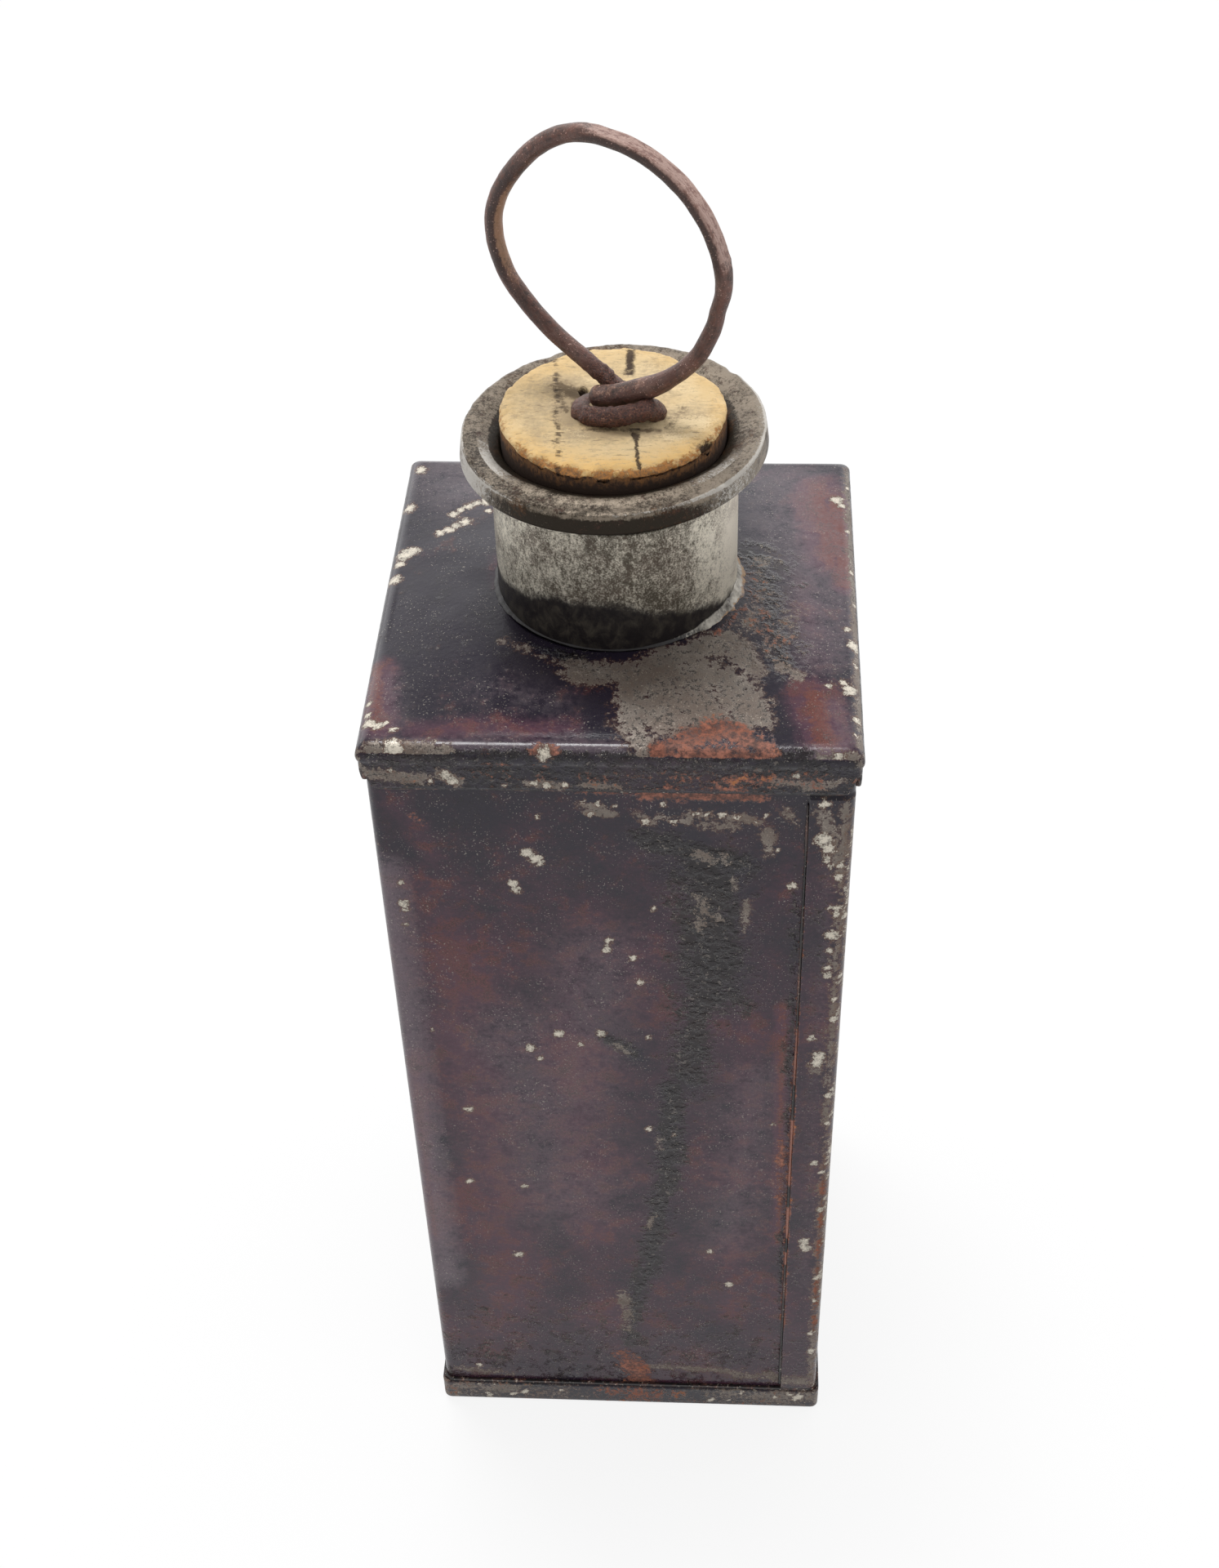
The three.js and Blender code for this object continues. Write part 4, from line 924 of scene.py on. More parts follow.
def shoulder(s):
    """Shoulder: rows widen from the neck's circle to the square, roll over the bead and run down the flaps.

    A row between the hole and the bead mixes a circle about the neck with the square, column by column. Over
    the bead the square grows by the bead's arc. The flaps shorten to nothing at the corners. The rows come
    back a sheet's thickness inside.
    """
    loop, _ = square_loop(s.plate_half, PLATE_CORNER, 0.42)
    unit = loop / s.plate_half
    neck = np.array([s.neck_x, s.neck_y])
    inside = s.plate_half - s.bead
    ways = unit * inside - neck
    circle = neck + (s.neck + 0.12) * ways / np.linalg.norm(ways, axis=1, keepdims=True)
    share = np.linspace(0, 1, 42)[:, None, None]
    face = (1 - share) * circle + share * unit * inside
    top = np.concatenate([face, plate_height(s, face[..., 0], face[..., 1])[..., None]], -1)
    top[..., 2] += rough(top, 14, 5) * 0.22 * np.clip((inside - np.abs(face).max(-1)) / 4, 0, 1)
    turn = np.radians(np.linspace(84, -BEAD_ENDS, BEAD_ROWS))[:, None]
    under = s.plate_high - s.bead + s.bead * math.sin(turn[-1, 0])
    depth = (under - s.flap_low) * flap_share(s, unit)
    drop = np.linspace(0, 1, FLAP_ROWS + 1)[1:, None]
    half = np.concatenate([inside + s.bead * np.cos(turn), np.full((FLAP_ROWS, 1), s.flap_face)])
    level = np.concatenate([s.plate_high - s.bead + s.bead * np.sin(turn) + 0 * depth, under - drop * depth])
    ripple = speckle(np.stack([unit[:, 0] * 27, unit[:, 1] * 27, 0 * unit[:, 0]], -1), 5, 9) - 0.5
    edge = squared(half, unit, level)
    edge[..., 2] += ripple * 0.10 * ease(0, 1.2, depth)
    inner_half = np.array([[s.flap_face - s.sheet + 0.02], [s.flap_face - s.sheet + 0.02], [inside - 0.2]])
    ceiling = np.full(len(unit), s.plate_high - s.sheet - 0.3)
    inner_level = np.stack([level[-1], level[BEAD_ROWS] + 0 * depth, ceiling])
    fold = squared(inner_half, unit, inner_level)
    back = top[::-6] - (0, 0, s.sheet)
    outer = np.concatenate([top, edge])
    grid = np.concatenate([outer, fold, back])
    blank = np.zeros((len(fold) + len(back), len(unit)))
    fields = {key: np.concatenate([value, blank]) for key, value in shoulder_wear(s, outer).items()}
    return surface("shoulder", grid, closed=True, fields=fields)


def shoulder_wear(s, points):
    """Painted fields of the shoulder: marks on its face, marks on the front flap, and strewn ones elsewhere."""
    x, y, z = np.moveaxis(points, -1, 0)
    face = z > s.plate_high - 0.9
    front = ~face & (y < -s.half + 0.4)
    others = ~face & ~front
    across = np.where(np.abs(y) > np.abs(x), x, y)
    chip = np.maximum(marks(x, y, PLATE_CHIPS) * face, marks(x, z, FLAP_CHIPS) * front)
    bare = np.maximum(marks(x, y, PLATE_BARE) * face, marks(x, z, FLAP_BARE) * front)
    rust = np.maximum(marks(x, y, PLATE_RUST) * face, marks(x, z, FLAP_RUST) * front)
    red = marks(x, y, PLATE_RED) * face + 0.3 * front
    low = (s.flap_low, s.plate_high - 2)
    chip = np.maximum(chip, others * marks(across, z, stray_marks(51, 13, 26, low, 0.5)))
    bare = np.maximum(bare, others * marks(across, z, stray_marks(52, 10, 26, low, 1.6)) * 0.66)
    rust = np.maximum(rust, others * marks(across, z, stray_marks(53, 6, 26, low, 1.6)) * 0.5)
    corner = np.hypot(s.plate_half - np.abs(x), s.plate_half - np.abs(y))
    edge = np.clip(1 - corner / 2.2, 0, 1)
    bare = np.maximum(bare, edge * (speckle(points, 1.6, 31) * 0.5 + 0.42))
    # The flaps take char all round, partly as painted shade under the bead.
    char = np.where(face, marks(x, y, PLATE_CHAR_AND_SHADE), 0.62)
    haze_and_sheen = marks(x, y, PLATE_HAZE_AND_SHEEN) * face
    return {"chip": chip, "bare": bare, "rust": rust, "red": red, "char": char, "haze_and_sheen": haze_and_sheen}


PAN_BARE = [(14.0, 3.0, 26.0, 3.0, 2.5, 0.62), (-26.0, 3.4, -17.0, 3.0, 1.6, 0.62)]
PAN_RUST = [(-3.0, 2.5, 4.0, 2.5, 2.4, 0.62), (6.0, 1.0, 20.0, 1.0, 0.7, 0.4)]


def base_pan(s):
    """Base pan: rows run from the middle of the underside to a rounded edge, up the flange and back inside."""
    loop, _ = square_loop(s.pan_half, 1.0, 0.6)
    unit = loop / s.pan_half
    bend = np.radians(np.linspace(-90, 0, 6))
    corner = np.stack([s.pan_half - s.pan_round + s.pan_round * np.cos(bend),
                       s.pan_round + s.pan_round * np.sin(bend)], -1)
    wall = stations([(s.pan_half, s.pan_round), (s.pan_half, s.pan_high)], 0.45)[1:]
    within = s.pan_half - s.sheet
    inside = stations([(within, s.pan_high), (within, s.sheet)], 1.5)
    sole = stations([(0, 0), (s.pan_half - s.pan_round, 0)], 1.2)[:-1]
    floor = stations([(within, s.sheet), (0, s.sheet)], 4)[1:]
    profile = np.concatenate([sole, corner, wall, inside, floor])
    half, level = profile[:, :1], profile[:, 1:]
    grid = squared(half, unit, level)
    x, y, z = np.moveaxis(grid, -1, 0)
    front = (y < -s.pan_half + 0.3) & (z > 0.1)
    away = np.hypot(s.pan_half - np.abs(x), s.pan_half - np.abs(y))
    edge = np.clip(1 - away / 2.0, 0, 1)
    wear = speckle(grid, 4.5, 41) * 0.55 + speckle(grid, 1.2, 42) * 0.24
    bare = np.maximum(wear * 0.78, edge * 0.75)
    bare = np.maximum(bare, front * marks(x, z, PAN_BARE))
    rust = np.maximum(front * marks(x, z, PAN_RUST), speckle(grid, 7, 43) * 0.45)
    tall = (0.6, 4.2)
    chip = np.maximum(marks(x, z, stray_marks(44, 26, 26, tall, 0.6)) * (np.abs(y) > np.abs(x)),
                      marks(y, z, stray_marks(45, 22, 26, tall, 0.6)) * (np.abs(x) > np.abs(y)))
    char = speckle(grid, 6, 46) * 0.7
    fields = {"bare": bare, "rust": rust, "chip": chip, "red": 0 * char, "char": char, "haze_and_sheen": 0 * char}
    return surface("base_pan", grid, poles=(True, True), fields=fields)


def neck(s):
    """Neck: a tube whose rows climb outside and come down inside, very slightly out of round."""
    wall = stations([(s.neck, s.neck_low), (s.neck, s.neck_high)], 0.35)
    inner = stations([(s.neck - s.sheet, s.neck_high), (s.neck - s.sheet, s.neck_low)], 2.5)
    grid, around = turned(np.concatenate([wall, inner]), 264, s.neck_x, s.neck_y)
    z = grid[..., 2]
    degrees = bearing(around)
    top = 134.4 + 3.1 * hump(degrees, -100, 45) - 3.6 * hump(degrees, 8, 46)
    top = top + rough(grid, 4, 61) * 1.3
    # Painted light: the tin is stained darker on its front and under the lip as painted shade, and kept clean on
    # the right as a painted reflection; it also darkens towards the foot.
    front_shade = hump(degrees, -82, 40)
    stain_and_shade = 0.10 + 0.42 * front_shade - 0.85 * hump(degrees, -6, 30)
    stain_and_shade = stain_and_shade + 0.16 * ease(142, 136, z) + 0.10 * ease(145.5, 147, z)
    return surface("neck", grid, closed=True, fields={"band": (top - z) / 2 + 0.5, "stain_and_shade": stain_and_shade})


# Nicks in the lip's edge: where they are, in degrees from the right, half their width, and their depth
LIP_NICKS = (
    (247, 4.5, 0.42), (239, 1.6, 0.2), (258, 1.2, 0.16), (318, 2.5, 0.2),
    (352, 4.0, 0.16), (40, 3.0, 0.2), (205, 2.5, 0.18), (120, 4.0, 0.2),
)


def lip(s):
    """Lip: a spigot in the neck, a shallow flare, an upright edge that leans in, and a funnel down to the bore.

    The collar sits a little higher on its right, the funnel's foot a little higher in front, and the upper
    edge has nicks and a ragged burr.
    """
    under = s.lip_high - s.lip_edge
    quarter = np.radians(np.linspace(0, 90, 8))
    flare = np.stack([s.neck + (s.lip - 0.12 - s.neck) * (1 - np.cos(quarter)),
                      s.mouth + (under - s.mouth) * np.sin(quarter)], -1)
    band = stations([(s.lip, under + 0.14), (s.lip - 0.24, s.lip_high - 0.38)], 0.22)
    brim = np.array([(s.lip - 0.30, s.lip_high - 0.25), (s.lip - 0.42, s.lip_high - 0.16)])
    reach = np.linspace(1, 0, 22)
    funnel = np.stack([s.bore + 0.14 + (s.lip - 0.74 - s.bore) * reach,
                       s.mouth + 2.05 + (s.lip_high - s.mouth - 2.17) * np.sin(reach * math.pi / 2) ** 0.85], -1)
    skirt = stations([(s.bore, s.lip_low), (s.spigot, s.lip_low), (s.spigot, s.neck_high + 0.1),
                      (s.neck, s.neck_high + 0.1), (s.neck, s.mouth)], 0.5)[:-1]
    bore = stations([(s.bore, s.mouth), (s.bore, s.lip_low)], 1.0)[1:-1]
    profile = np.concatenate([skirt, flare, band, brim, funnel, bore])
    grid, around = turned(profile, 420, s.neck_x, s.neck_y)
    degrees = np.degrees(around)
    radius, height = profile[:, :1], profile[:, 1:]
    corner = hump(radius, s.lip - 0.3, 0.4) * hump(height, s.lip_high - 0.25, 0.45)
    nicks = sum(depth * hump(degrees, at, width) for at, width, depth in LIP_NICKS)
    burr = rough(grid, 0.9, 72) * (0.12 + 0.42 * hump(degrees, 273, 9))
    grid[..., 2] -= corner * (nicks + np.abs(rough(grid, 3, 71) * 0.2) + burr)
    axis = np.array([s.neck_x, s.neck_y])
    grid[..., :2] = axis + (grid[..., :2] - axis) * (1 - corner * (nicks * 0.03 + burr * 0.02))[..., None]
    collar = ease(s.mouth - 0.2, s.mouth + 1.0, height)
    grid[..., 2] += 0.5 * collar * (grid[..., 0] - s.neck_x) / s.lip
    inner = (np.arange(len(profile)) >= len(profile) - len(bore) - len(funnel))[:, None] * collar
    grid[..., 2] += inner * 0.8 * ease(-2, -11, grid[..., 1]) * ease(s.lip - 1.2, s.bore + 1.2, radius)
    outer = ((radius > s.neck - 0.01) & (height < s.lip_high - 0.3) & (height > s.neck_high)).astype(float)
    # Front: painted shade. Sides: a painted highlight on the outer band's left and right.
    front_shade = hump(degrees, 266, 34)
    sides = 0.62 * hump(degrees, 206, 24) + 0.50 * hump(degrees, 324, 24)
    right, left = hump(bearing(around), 0, 48), hump(degrees, 200, 34)
    # Rubbed rim: worn metal and a painted highlight, weaker in front.
    rubbed = hump(radius, s.lip - 0.36, 0.16) * (height > s.lip_high - 0.5)
    rubbed = rubbed * (0.50 + 0.6 * (speckle(grid, 3, 73) - 0.5)) + 0.3 * corner * np.clip(burr * 6, 0, 1)
    rubbed = rubbed * (1 - 0.5 * front_shade) + outer * sides
    rubbed = rubbed + 0.36 * (1 - outer) * right * ease(s.lip - 2.0, s.lip - 0.9, radius)
    # Painted shade in the gap between the funnel and the cork, lighter in front.
    deep = 0.95 * hump(radius, s.bore, 1.5) * (height > s.mouth - 0.1) * (1 - 0.75 * front_shade)
    sunk = 0.42 + 0.5 * ease(s.bore + 3.0, s.bore + 1.5, radius)
    # Painted shade on the funnel's front and left.
    funnel_shade = (0.04 + sunk * front_shade + 0.36 * left) * (height > s.mouth)
    # Painted shade under the rim in front and in the nicks.
    shade_beneath = 0.12 + 1.9 * front_shade * ease(s.lip_high - 0.5, s.lip_high - 1.3, height) + 1.2 * nicks
    stain_and_shade = (deep + funnel_shade) * (1 - outer) + shade_beneath * outer
    return surface("lip", grid, closed=True, fields={"edge": rubbed, "stain_and_shade": stain_and_shade})


def neck_fillet(s):
    """Solder round the neck's foot: a hollow-faced ring on the crown, of uneven width and height."""
    around = np.linspace(0, 2 * math.pi, 420, endpoint=False)
    degrees = bearing(around)
    round_way = np.stack([np.cos(around), np.sin(around), 0 * around], -1) * s.neck
    lumps, ragged = rough(round_way, 4, 81), rough(round_way, 1.3, 82)
    lobes = hump(degrees, -20, 34) + 0.35 * hump(np.abs(degrees), 165, 25)
    wide = 0.10 + (1.05 + ragged * 0.9) * lobes + np.abs(lumps) * 0.3
    tall = 0.10 + (0.85 + ragged * 0.6) * lobes + np.abs(lumps) * 0.3
    part = np.linspace(0, 1, 10)[:, None]
    radius = np.concatenate([s.neck + 0.01 + wide * part, s.neck + 0.01 + wide * (1 - part[3::3])])
    x, y = s.neck_x + radius * np.cos(around), s.neck_y + radius * np.sin(around)
    lift = np.concatenate([0.03 + tall * (1 - part) ** 2.1, np.full((3, len(around)), -0.06)])
    grid = np.stack([x, y, plate_height(s, x, y) + lift], -1)
    outer = np.concatenate([part, 1 - part[3::3]])
    right = hump(degrees, -14, 42)
    fields = {"char": 1.1 - right * 1.3 + 0 * outer, "rust": 0.8 * ease(0.35, 0.75, outer) * right}
    return surface("neck_fillet", grid, closed=True, fields=fields)


def flap_solder(s):
    """Solder under the flaps: a small hollow fillet from their lower edges to the walls, all the way round."""
    loop, _ = square_loop(s.plate_half, PLATE_CORNER, 0.6)
    unit = loop / s.plate_half
    under = s.plate_high - s.bead - s.bead * math.sin(math.radians(BEAD_ENDS))
    edge = under - (under - s.flap_low) * flap_share(s, unit)
    around = np.stack([unit[:, 0] * s.half, unit[:, 1] * s.half, 0 * unit[:, 0]], -1)
    swell = 1 + rough(around, 3, 95) * 0.8
    half = np.array([s.flap_face - 0.03, s.flap_face - 0.12, s.flap_face - 0.3, s.half, s.half - 0.03])[:, None]
    drop = np.array([0.0, 0.24, 0.42, 0.55, -0.05])[:, None]
    return surface("flap_solder", squared(half, unit, edge - drop * swell), closed=True)


# Streaks on the lap's seam: rust, and a painted highlight where the step catches light.
SEAM_RUST_AND_HIGHLIGHT = [
    (0, 54, 0, 66, 0.8, 1), (0, 42, 0, 48, 0.8, 0.9), (0, 36, 0, 38, 0.6, 0.9), (0, 74, 0, 84, 0.8, 0.6),
]


def seam_bead(s):
    """Solder down the lap: a flat oval section carried up the strip's edge, of uneven width."""
    height = np.arange(SEAM_LOW.z * 1000 + 0.2, SEAM_HIGH.z * 1000 - 0.2, 0.6)
    spine = np.stack([0 * height, 0 * height, height], -1)
    swell = 1 + rough(spine, 5, 91) * 0.9
    swell[[0, -1]] = 0.2
    theta = np.linspace(0, 2 * math.pi, 12, endpoint=False)
    x = s.strip_edge - 0.16 + 0.20 * swell[:, None] * np.cos(theta)
    y = -s.half - 0.10 + 0.24 * swell[:, None] * np.sin(theta)
    rubbed = marks(0, height, SEAM_RUST_AND_HIGHLIGHT)
    grid = np.stack(np.broadcast_arrays(x, y, height[:, None]), -1)
    fields = {"rubbed": np.repeat(rubbed[:, None], len(theta), 1)}
    return surface("seam_bead", grid, poles=(True, True), fields=fields)


# Radius of the cork's rounded rim
CORK_ROUND = 0.55
CORK_HOLE = [
    (10.2, -4.9, 10.6, -4.5, 0.55, 1), (9.6, -5.6, 10.0, -5.1, 0.3, 0.9), (10.7, -4.4, 11.3, -4.0, 0.2, 0.9),
    (-3.8, 5.3, -3.5, 4.5, 0.5, 1),
]
CORK_DUSTY = [
    (-6.0, 6.2, -4.5, -0.5, 2.2, 0.95), (-4.0, -3.5, 6.0, -3.0, 1.6, 0.8), (-7.0, 3.0, 2.0, 1.0, 5.0, 0.66),
    (5.0, -1.0, 8.5, 0.5, 2.2, 0.7), (-3.0, 9.0, 6.0, 9.0, 3.0, 0.45), (-9.5, 1.0, -8.0, -4.0, 1.8, 0.5),
]
CORK_DIRT = [
    (-6.4, 6.0, -4.4, 4.4, 0.9, 0.95), (-6.2, 4.4, -5.4, 1.0, 0.5, 0.7), (-4.6, 2.6, -3.6, 0.2, 0.5, 0.8),
    (-3.0, -2.6, 5.0, -2.8, 0.45, 0.75), (6.0, -1.6, 7.4, 1.6, 0.7, 0.5), (-6.9, 8.0, -6.2, -6.0, 0.5, 0.45),
    (9.4, -5.6, 11.2, -4.0, 0.9, 0.6), (1.2, 8.6, 1.5, 12.6, 0.5, 0.6),
]
CORK_SCUFFED = [
    (5.0, -1.5, 9.5, -1.0, 1.6, 0.9), (6.0, -4.0, 8.6, -3.4, 1.0, 0.8), (3.0, 10.5, 9.0, 9.0, 1.4, 0.5),
    (-5.0, -2.5, -3.0, -4.0, 0.7, 0.6),
]


def cork_plug(s, k):
    """Cork: rows run from the middle of the top to its torn rim, down the tapered side and in underneath.

    The rim's radius wanders with the angle, its rounding and tears come from noise, and dents make the holes.
    """
    big, small = k.cork_big, k.cork_small
    across, shoulder_high = big - CORK_ROUND, k.cork_high - CORK_ROUND
    share = np.linspace(0, 1, 84)
    top = np.stack([share * across, np.full(len(share), k.cork_high)], -1)
    bend = np.radians(np.linspace(80, 0, 8))
    rim = np.stack([across + CORK_ROUND * np.cos(bend), shoulder_high + CORK_ROUND * np.sin(bend)], -1)
    wall = stations([(big, shoulder_high), (small + 0.1, k.cork_low + 0.5)], 0.4)[1:]
    foot = stations([(small - 0.3, k.cork_low), (0, k.cork_low)], 2)
    profile = np.concatenate([top, rim, wall, foot])
    grid, around = turned(profile, 330, s.neck_x, s.neck_y)
    degrees = bearing(around)
    rim_way = np.stack([np.cos(around), np.sin(around), 0 * around], -1) * big
    facet = 0.070 * hump(degrees, 41, 15) + 0.016 * hump(degrees, -18, 14)
    wander = 1 - facet - 0.022 * speckle(rim_way, 7, 101) - 0.018 * np.abs(rough(rim_way, 1.4, 105))
    near_top = ease(k.cork_high - 4, k.cork_high - 0.5, grid[..., 2])
    axis = np.array([s.neck_x, s.neck_y])
    grid[..., :2] = axis + (grid[..., :2] - axis) * (1 - near_top * (1 - wander))[..., None]
    x, y, z = np.moveaxis(grid, -1, 0)
    radius = np.broadcast_to(profile[:, :1], z.shape)
    upper = (np.arange(len(profile)) < len(top) + len(rim))[:, None]
    out = ease(big - 1.5, big - 0.1, radius) * upper
    front = hump(degrees, -88, 62)
    torn = out * (0.40 + 0.60 * front) * np.clip(rough(grid, 1.5, 102) + rough(grid, 0.7, 106) * 0.6 + 0.32, 0, 1)
    hole = marks(x, y, CORK_HOLE) * upper
    waves = rough(grid, 5, 103) * 0.26 + rough(grid, 1.6, 104) * 0.12 + 0.14
    z -= torn + ease(0.35, 0.8, hole) + upper * waves
    beside = (profile[:, 1:] < k.cork_high - 0.45) * np.ones(len(around))
    side = np.maximum(beside, ease(k.cork_high - 0.9, k.cork_high - 1.6, z))
    dusty = marks(x, y, CORK_DUSTY) * upper
    dirt = marks(x, y, CORK_DIRT) * upper
    scuffed = marks(x, y, CORK_SCUFFED) * upper
    edge = (torn * 1.3 + out * 0.45) * (0.45 + 0.55 * front)
    gold = ease(6.5, 12.2, radius) * (0.55 + 0.45 * front) * upper
    # The cork's side is darker towards its foot, higher in front.
    darker_front = hump(degrees, -92, 40) + 0 * z
    fields = {"rim": edge, "side": side, "hole": hole, "dusty": dusty, "scuffed": scuffed, "dirt": dirt,
              "gold": gold, "darker_front": darker_front}
    return surface("cork_plug", grid, poles=(True, True), fields=fields)


def smooth_route(points, spacing):
    """A centripetal spline through the points, read at even spacing.

    Each stretch is a cubic between its two points, with slopes from the points on either side, where a
    stretch lasts as long as the square root of its length.
    """
    ends = np.concatenate([[2 * points[0] - points[1]], points, [2 * points[-1] - points[-2]]])
    last = np.sqrt(np.linalg.norm(np.diff(ends, axis=0), axis=1))[:, None]
    a, b, c, d = ends[:-3], ends[1:-2], ends[2:-1], ends[3:]
    before, here, after = last[:-2], last[1:-1], last[2:]
    start = ((b - a) / before - (c - a) / (before + here) + (c - b) / here) * here
    finish = ((c - b) / here - (d - b) / (here + after) + (d - c) / after) * here
    t = np.linspace(0, 1, 24, endpoint=False)[None, :, None]
    b, c, start, finish = (v[:, None] for v in (b, c, start, finish))
    fine = (b * (2 * t**3 - 3 * t**2 + 1) + start * (t**3 - 2 * t**2 + t)
            + c * (3 * t**2 - 2 * t**3) + finish * (t**3 - t**2)).reshape(-1, 3)
    fine = np.concatenate([fine, points[-1:]])
    run = np.concatenate([[0], np.cumsum(np.linalg.norm(np.diff(fine, axis=0), axis=1))])
    even = np.linspace(0, run[-1], int(run[-1] / spacing))
    return np.stack([np.interp(even, run, axis) for axis in fine.T], -1)


# Places of the right leg from its free end: along the ring, above the resting wire, and forward
RIGHT_LEG = [
    (-3.1, -0.28, 2.60), (-1.3, 0.07, 2.36), (0.5, 0.69, 2.12), (2.4, 1.63, 1.83), (4.4, 2.62, 1.52),
    (6.0, 3.75, 1.27), (7.9, 5.48, 0.91), (9.6, 7.70, 0.51), (10.5, 9.70, 0.22), (11.2, 11.50, 0.0),
]


def wire_route(s, k):
    """The wire's middle line: free end, right leg, ring, left leg and worm, as (side, height, forward) points.

    The right leg goes by its own points. The ring is an arc with one flatter place. The left leg is straight
    but for its sag. The worm is a right-handed helix, which dips under the leg and comes out on the right.
    """
    rest = k.cork_high + k.wire_gap + k.wire
    middle = k.cork_high + k.ring_rise + k.ring
    axis = np.array([s.neck_x + k.worm_x, s.neck_y + k.worm_y])

    def ring_at(turn):
        radius = k.ring - k.ring_dent * np.clip(np.cos(2 * (turn - k.ring_dent_at)), 0, None) ** 2
        return np.stack([k.ring_side + radius * np.cos(turn), middle + radius * np.sin(turn), 0 * turn], -1)

    leg = np.array(RIGHT_LEG) + (0, rest, 0)
    ring = ring_at(np.linspace(k.right_leaves, k.left_leaves, 21))
    f = np.array([0.25, 0.45, 0.65, 0.85, 1])
    foot = np.array([k.foot_side, rest + k.foot_rise, 0])
    shank = ring[-1] + f[:, None] * (foot - ring[-1])
    shank[:, 1] -= k.leg_sag * 6.75 * f * (1 - f) ** 2
    flat = np.concatenate([leg, ring, shank])
    out = flat[:, 2] + (flat[:, 1] - middle) * math.tan(k.ring_lean)
    cos, sin = math.cos(k.ring_yaw), math.sin(k.ring_yaw)
    upper = np.stack([axis[0] + flat[:, 0] * cos + out * sin,
                      axis[1] + flat[:, 0] * sin - out * cos, flat[:, 1]], -1)
    turn = np.arange(k.worm_start, k.worm_ends - 0.01, -math.pi / 6)
    radius = k.worm - (1 - np.clip((k.worm_start - turn) * 3 / math.pi, 0, 1)) * k.wire
    rise = k.worm_rise * np.clip((turn - k.worm_lands) / (k.worm_start - k.worm_lands), 0, None)
    drop = np.clip(k.worm_lands - turn, 0, None) / (2 * math.pi)
    sunk = 2.3 * ease(math.radians(-42), math.radians(-8), turn)
    level = rest + rise - k.worm_pitch * drop
    shown = ease(k.cork_high - 3, k.cork_high, level)
    worm = np.stack([axis[0] + radius * (1 - 0.06 * shown) * np.cos(turn),
                     axis[1] + radius * (1 - 0.28 * shown) * np.sin(turn) - 0.9 * shown, level - sunk], -1)
    return np.concatenate([upper, worm])


# Distance between the wire's sections
WIRE_STEP = 0.17


def ring_wire(s, k):
    """Wire: a circle carried along the route, flattened outwards on the ring's upper right, with blunt ends.

    The section's first axis is the ring's plane normal, and changes to the upright along the worm.
    """
    line = smooth_route(wire_route(s, k), WIRE_STEP)
    ahead = np.gradient(line, axis=0)
    ahead /= np.linalg.norm(ahead, axis=1, keepdims=True)
    cos, sin = math.cos(k.ring_yaw), math.sin(k.ring_yaw)
    normal = np.array([sin, -cos, 0])
    side = (line[:, 0] - s.neck_x - k.worm_x) * cos + (line[:, 1] - s.neck_y - k.worm_y) * sin
    middle = k.cork_high + k.ring_rise + k.ring
    turn = np.degrees(np.arctan2(line[:, 2] - middle, side - k.ring_side))
    rank = np.linspace(0, 1, len(line))
    shank = np.flatnonzero((line[:, 2] < middle - k.ring - 1) & (rank > 0.3))[0]
    lower = ease(shank - 12, shank + 12, np.arange(len(line)))
    guide = (1 - lower[:, None]) * normal + lower[:, None] * (0, 0, 1)
    first = guide - (guide * ahead).sum(1, keepdims=True) * ahead
    first /= np.linalg.norm(first, axis=1, keepdims=True)
    second = np.cross(ahead, first)
    onring = rank < rank[shank]
    place = np.arange(len(line))
    land = ease(2, 16, turn) * ease(104, 84, turn) * onring
    swollen = ease(72, 40, place) * 0.26
    scaled = lower * ease(k.cork_high - 0.5, k.cork_high + 0.8, line[:, 2]) * ease(shank + 6, shank + 26, place)
    slim = 1 - 0.10 * hump(turn, -14, 16) * onring * ease(40, 80, place) + swollen + 0.17 * scaled
    theta = np.linspace(0, 2 * math.pi, 24, endpoint=False)
    across, outward = np.cos(theta) * np.ones((len(line), 1)), np.sin(theta) * np.ones((len(line), 1))
    outward = np.minimum(outward, 1 - 0.42 * land[:, None])
    across = across * (1 + 0.10 * land[:, None])
    tip = np.minimum(place, place[::-1]) * WIRE_STEP / k.wire
    blunt = np.sqrt(np.clip(1 - (1 - np.clip(tip, 0, 1)) ** 2, 0, 1)) * 0.999 + 0.001
    size = (k.wire * slim * blunt)[:, None]
    line[:, 2] += scaled * 0.12
    grid = line[:, None] + (size * across)[..., None] * first[:, None]
    grid = grid + (size * outward)[..., None] * second[:, None]
    eaten = (lower * ease(k.cork_high - 1, k.cork_high + 0.5, line[:, 2]))[:, None] * np.ones(len(theta))
    push = rough(grid, 1.6, 111) * 0.07 + (rough(grid, 0.7, 112) - 0.05) * 0.42 * eaten - 0.02
    grid += push[..., None] * (grid - line[:, None]) / np.maximum(size, 0.2)[..., None]
    fields = wire_wear(grid - line[:, None], across, outward, turn, land, onring, swollen)
    fields["eaten"] = eaten
    fields["along"] = place[:, None] * WIRE_STEP + 0 * across
    return surface("ring_wire", grid, poles=(True, True), fields=fields)


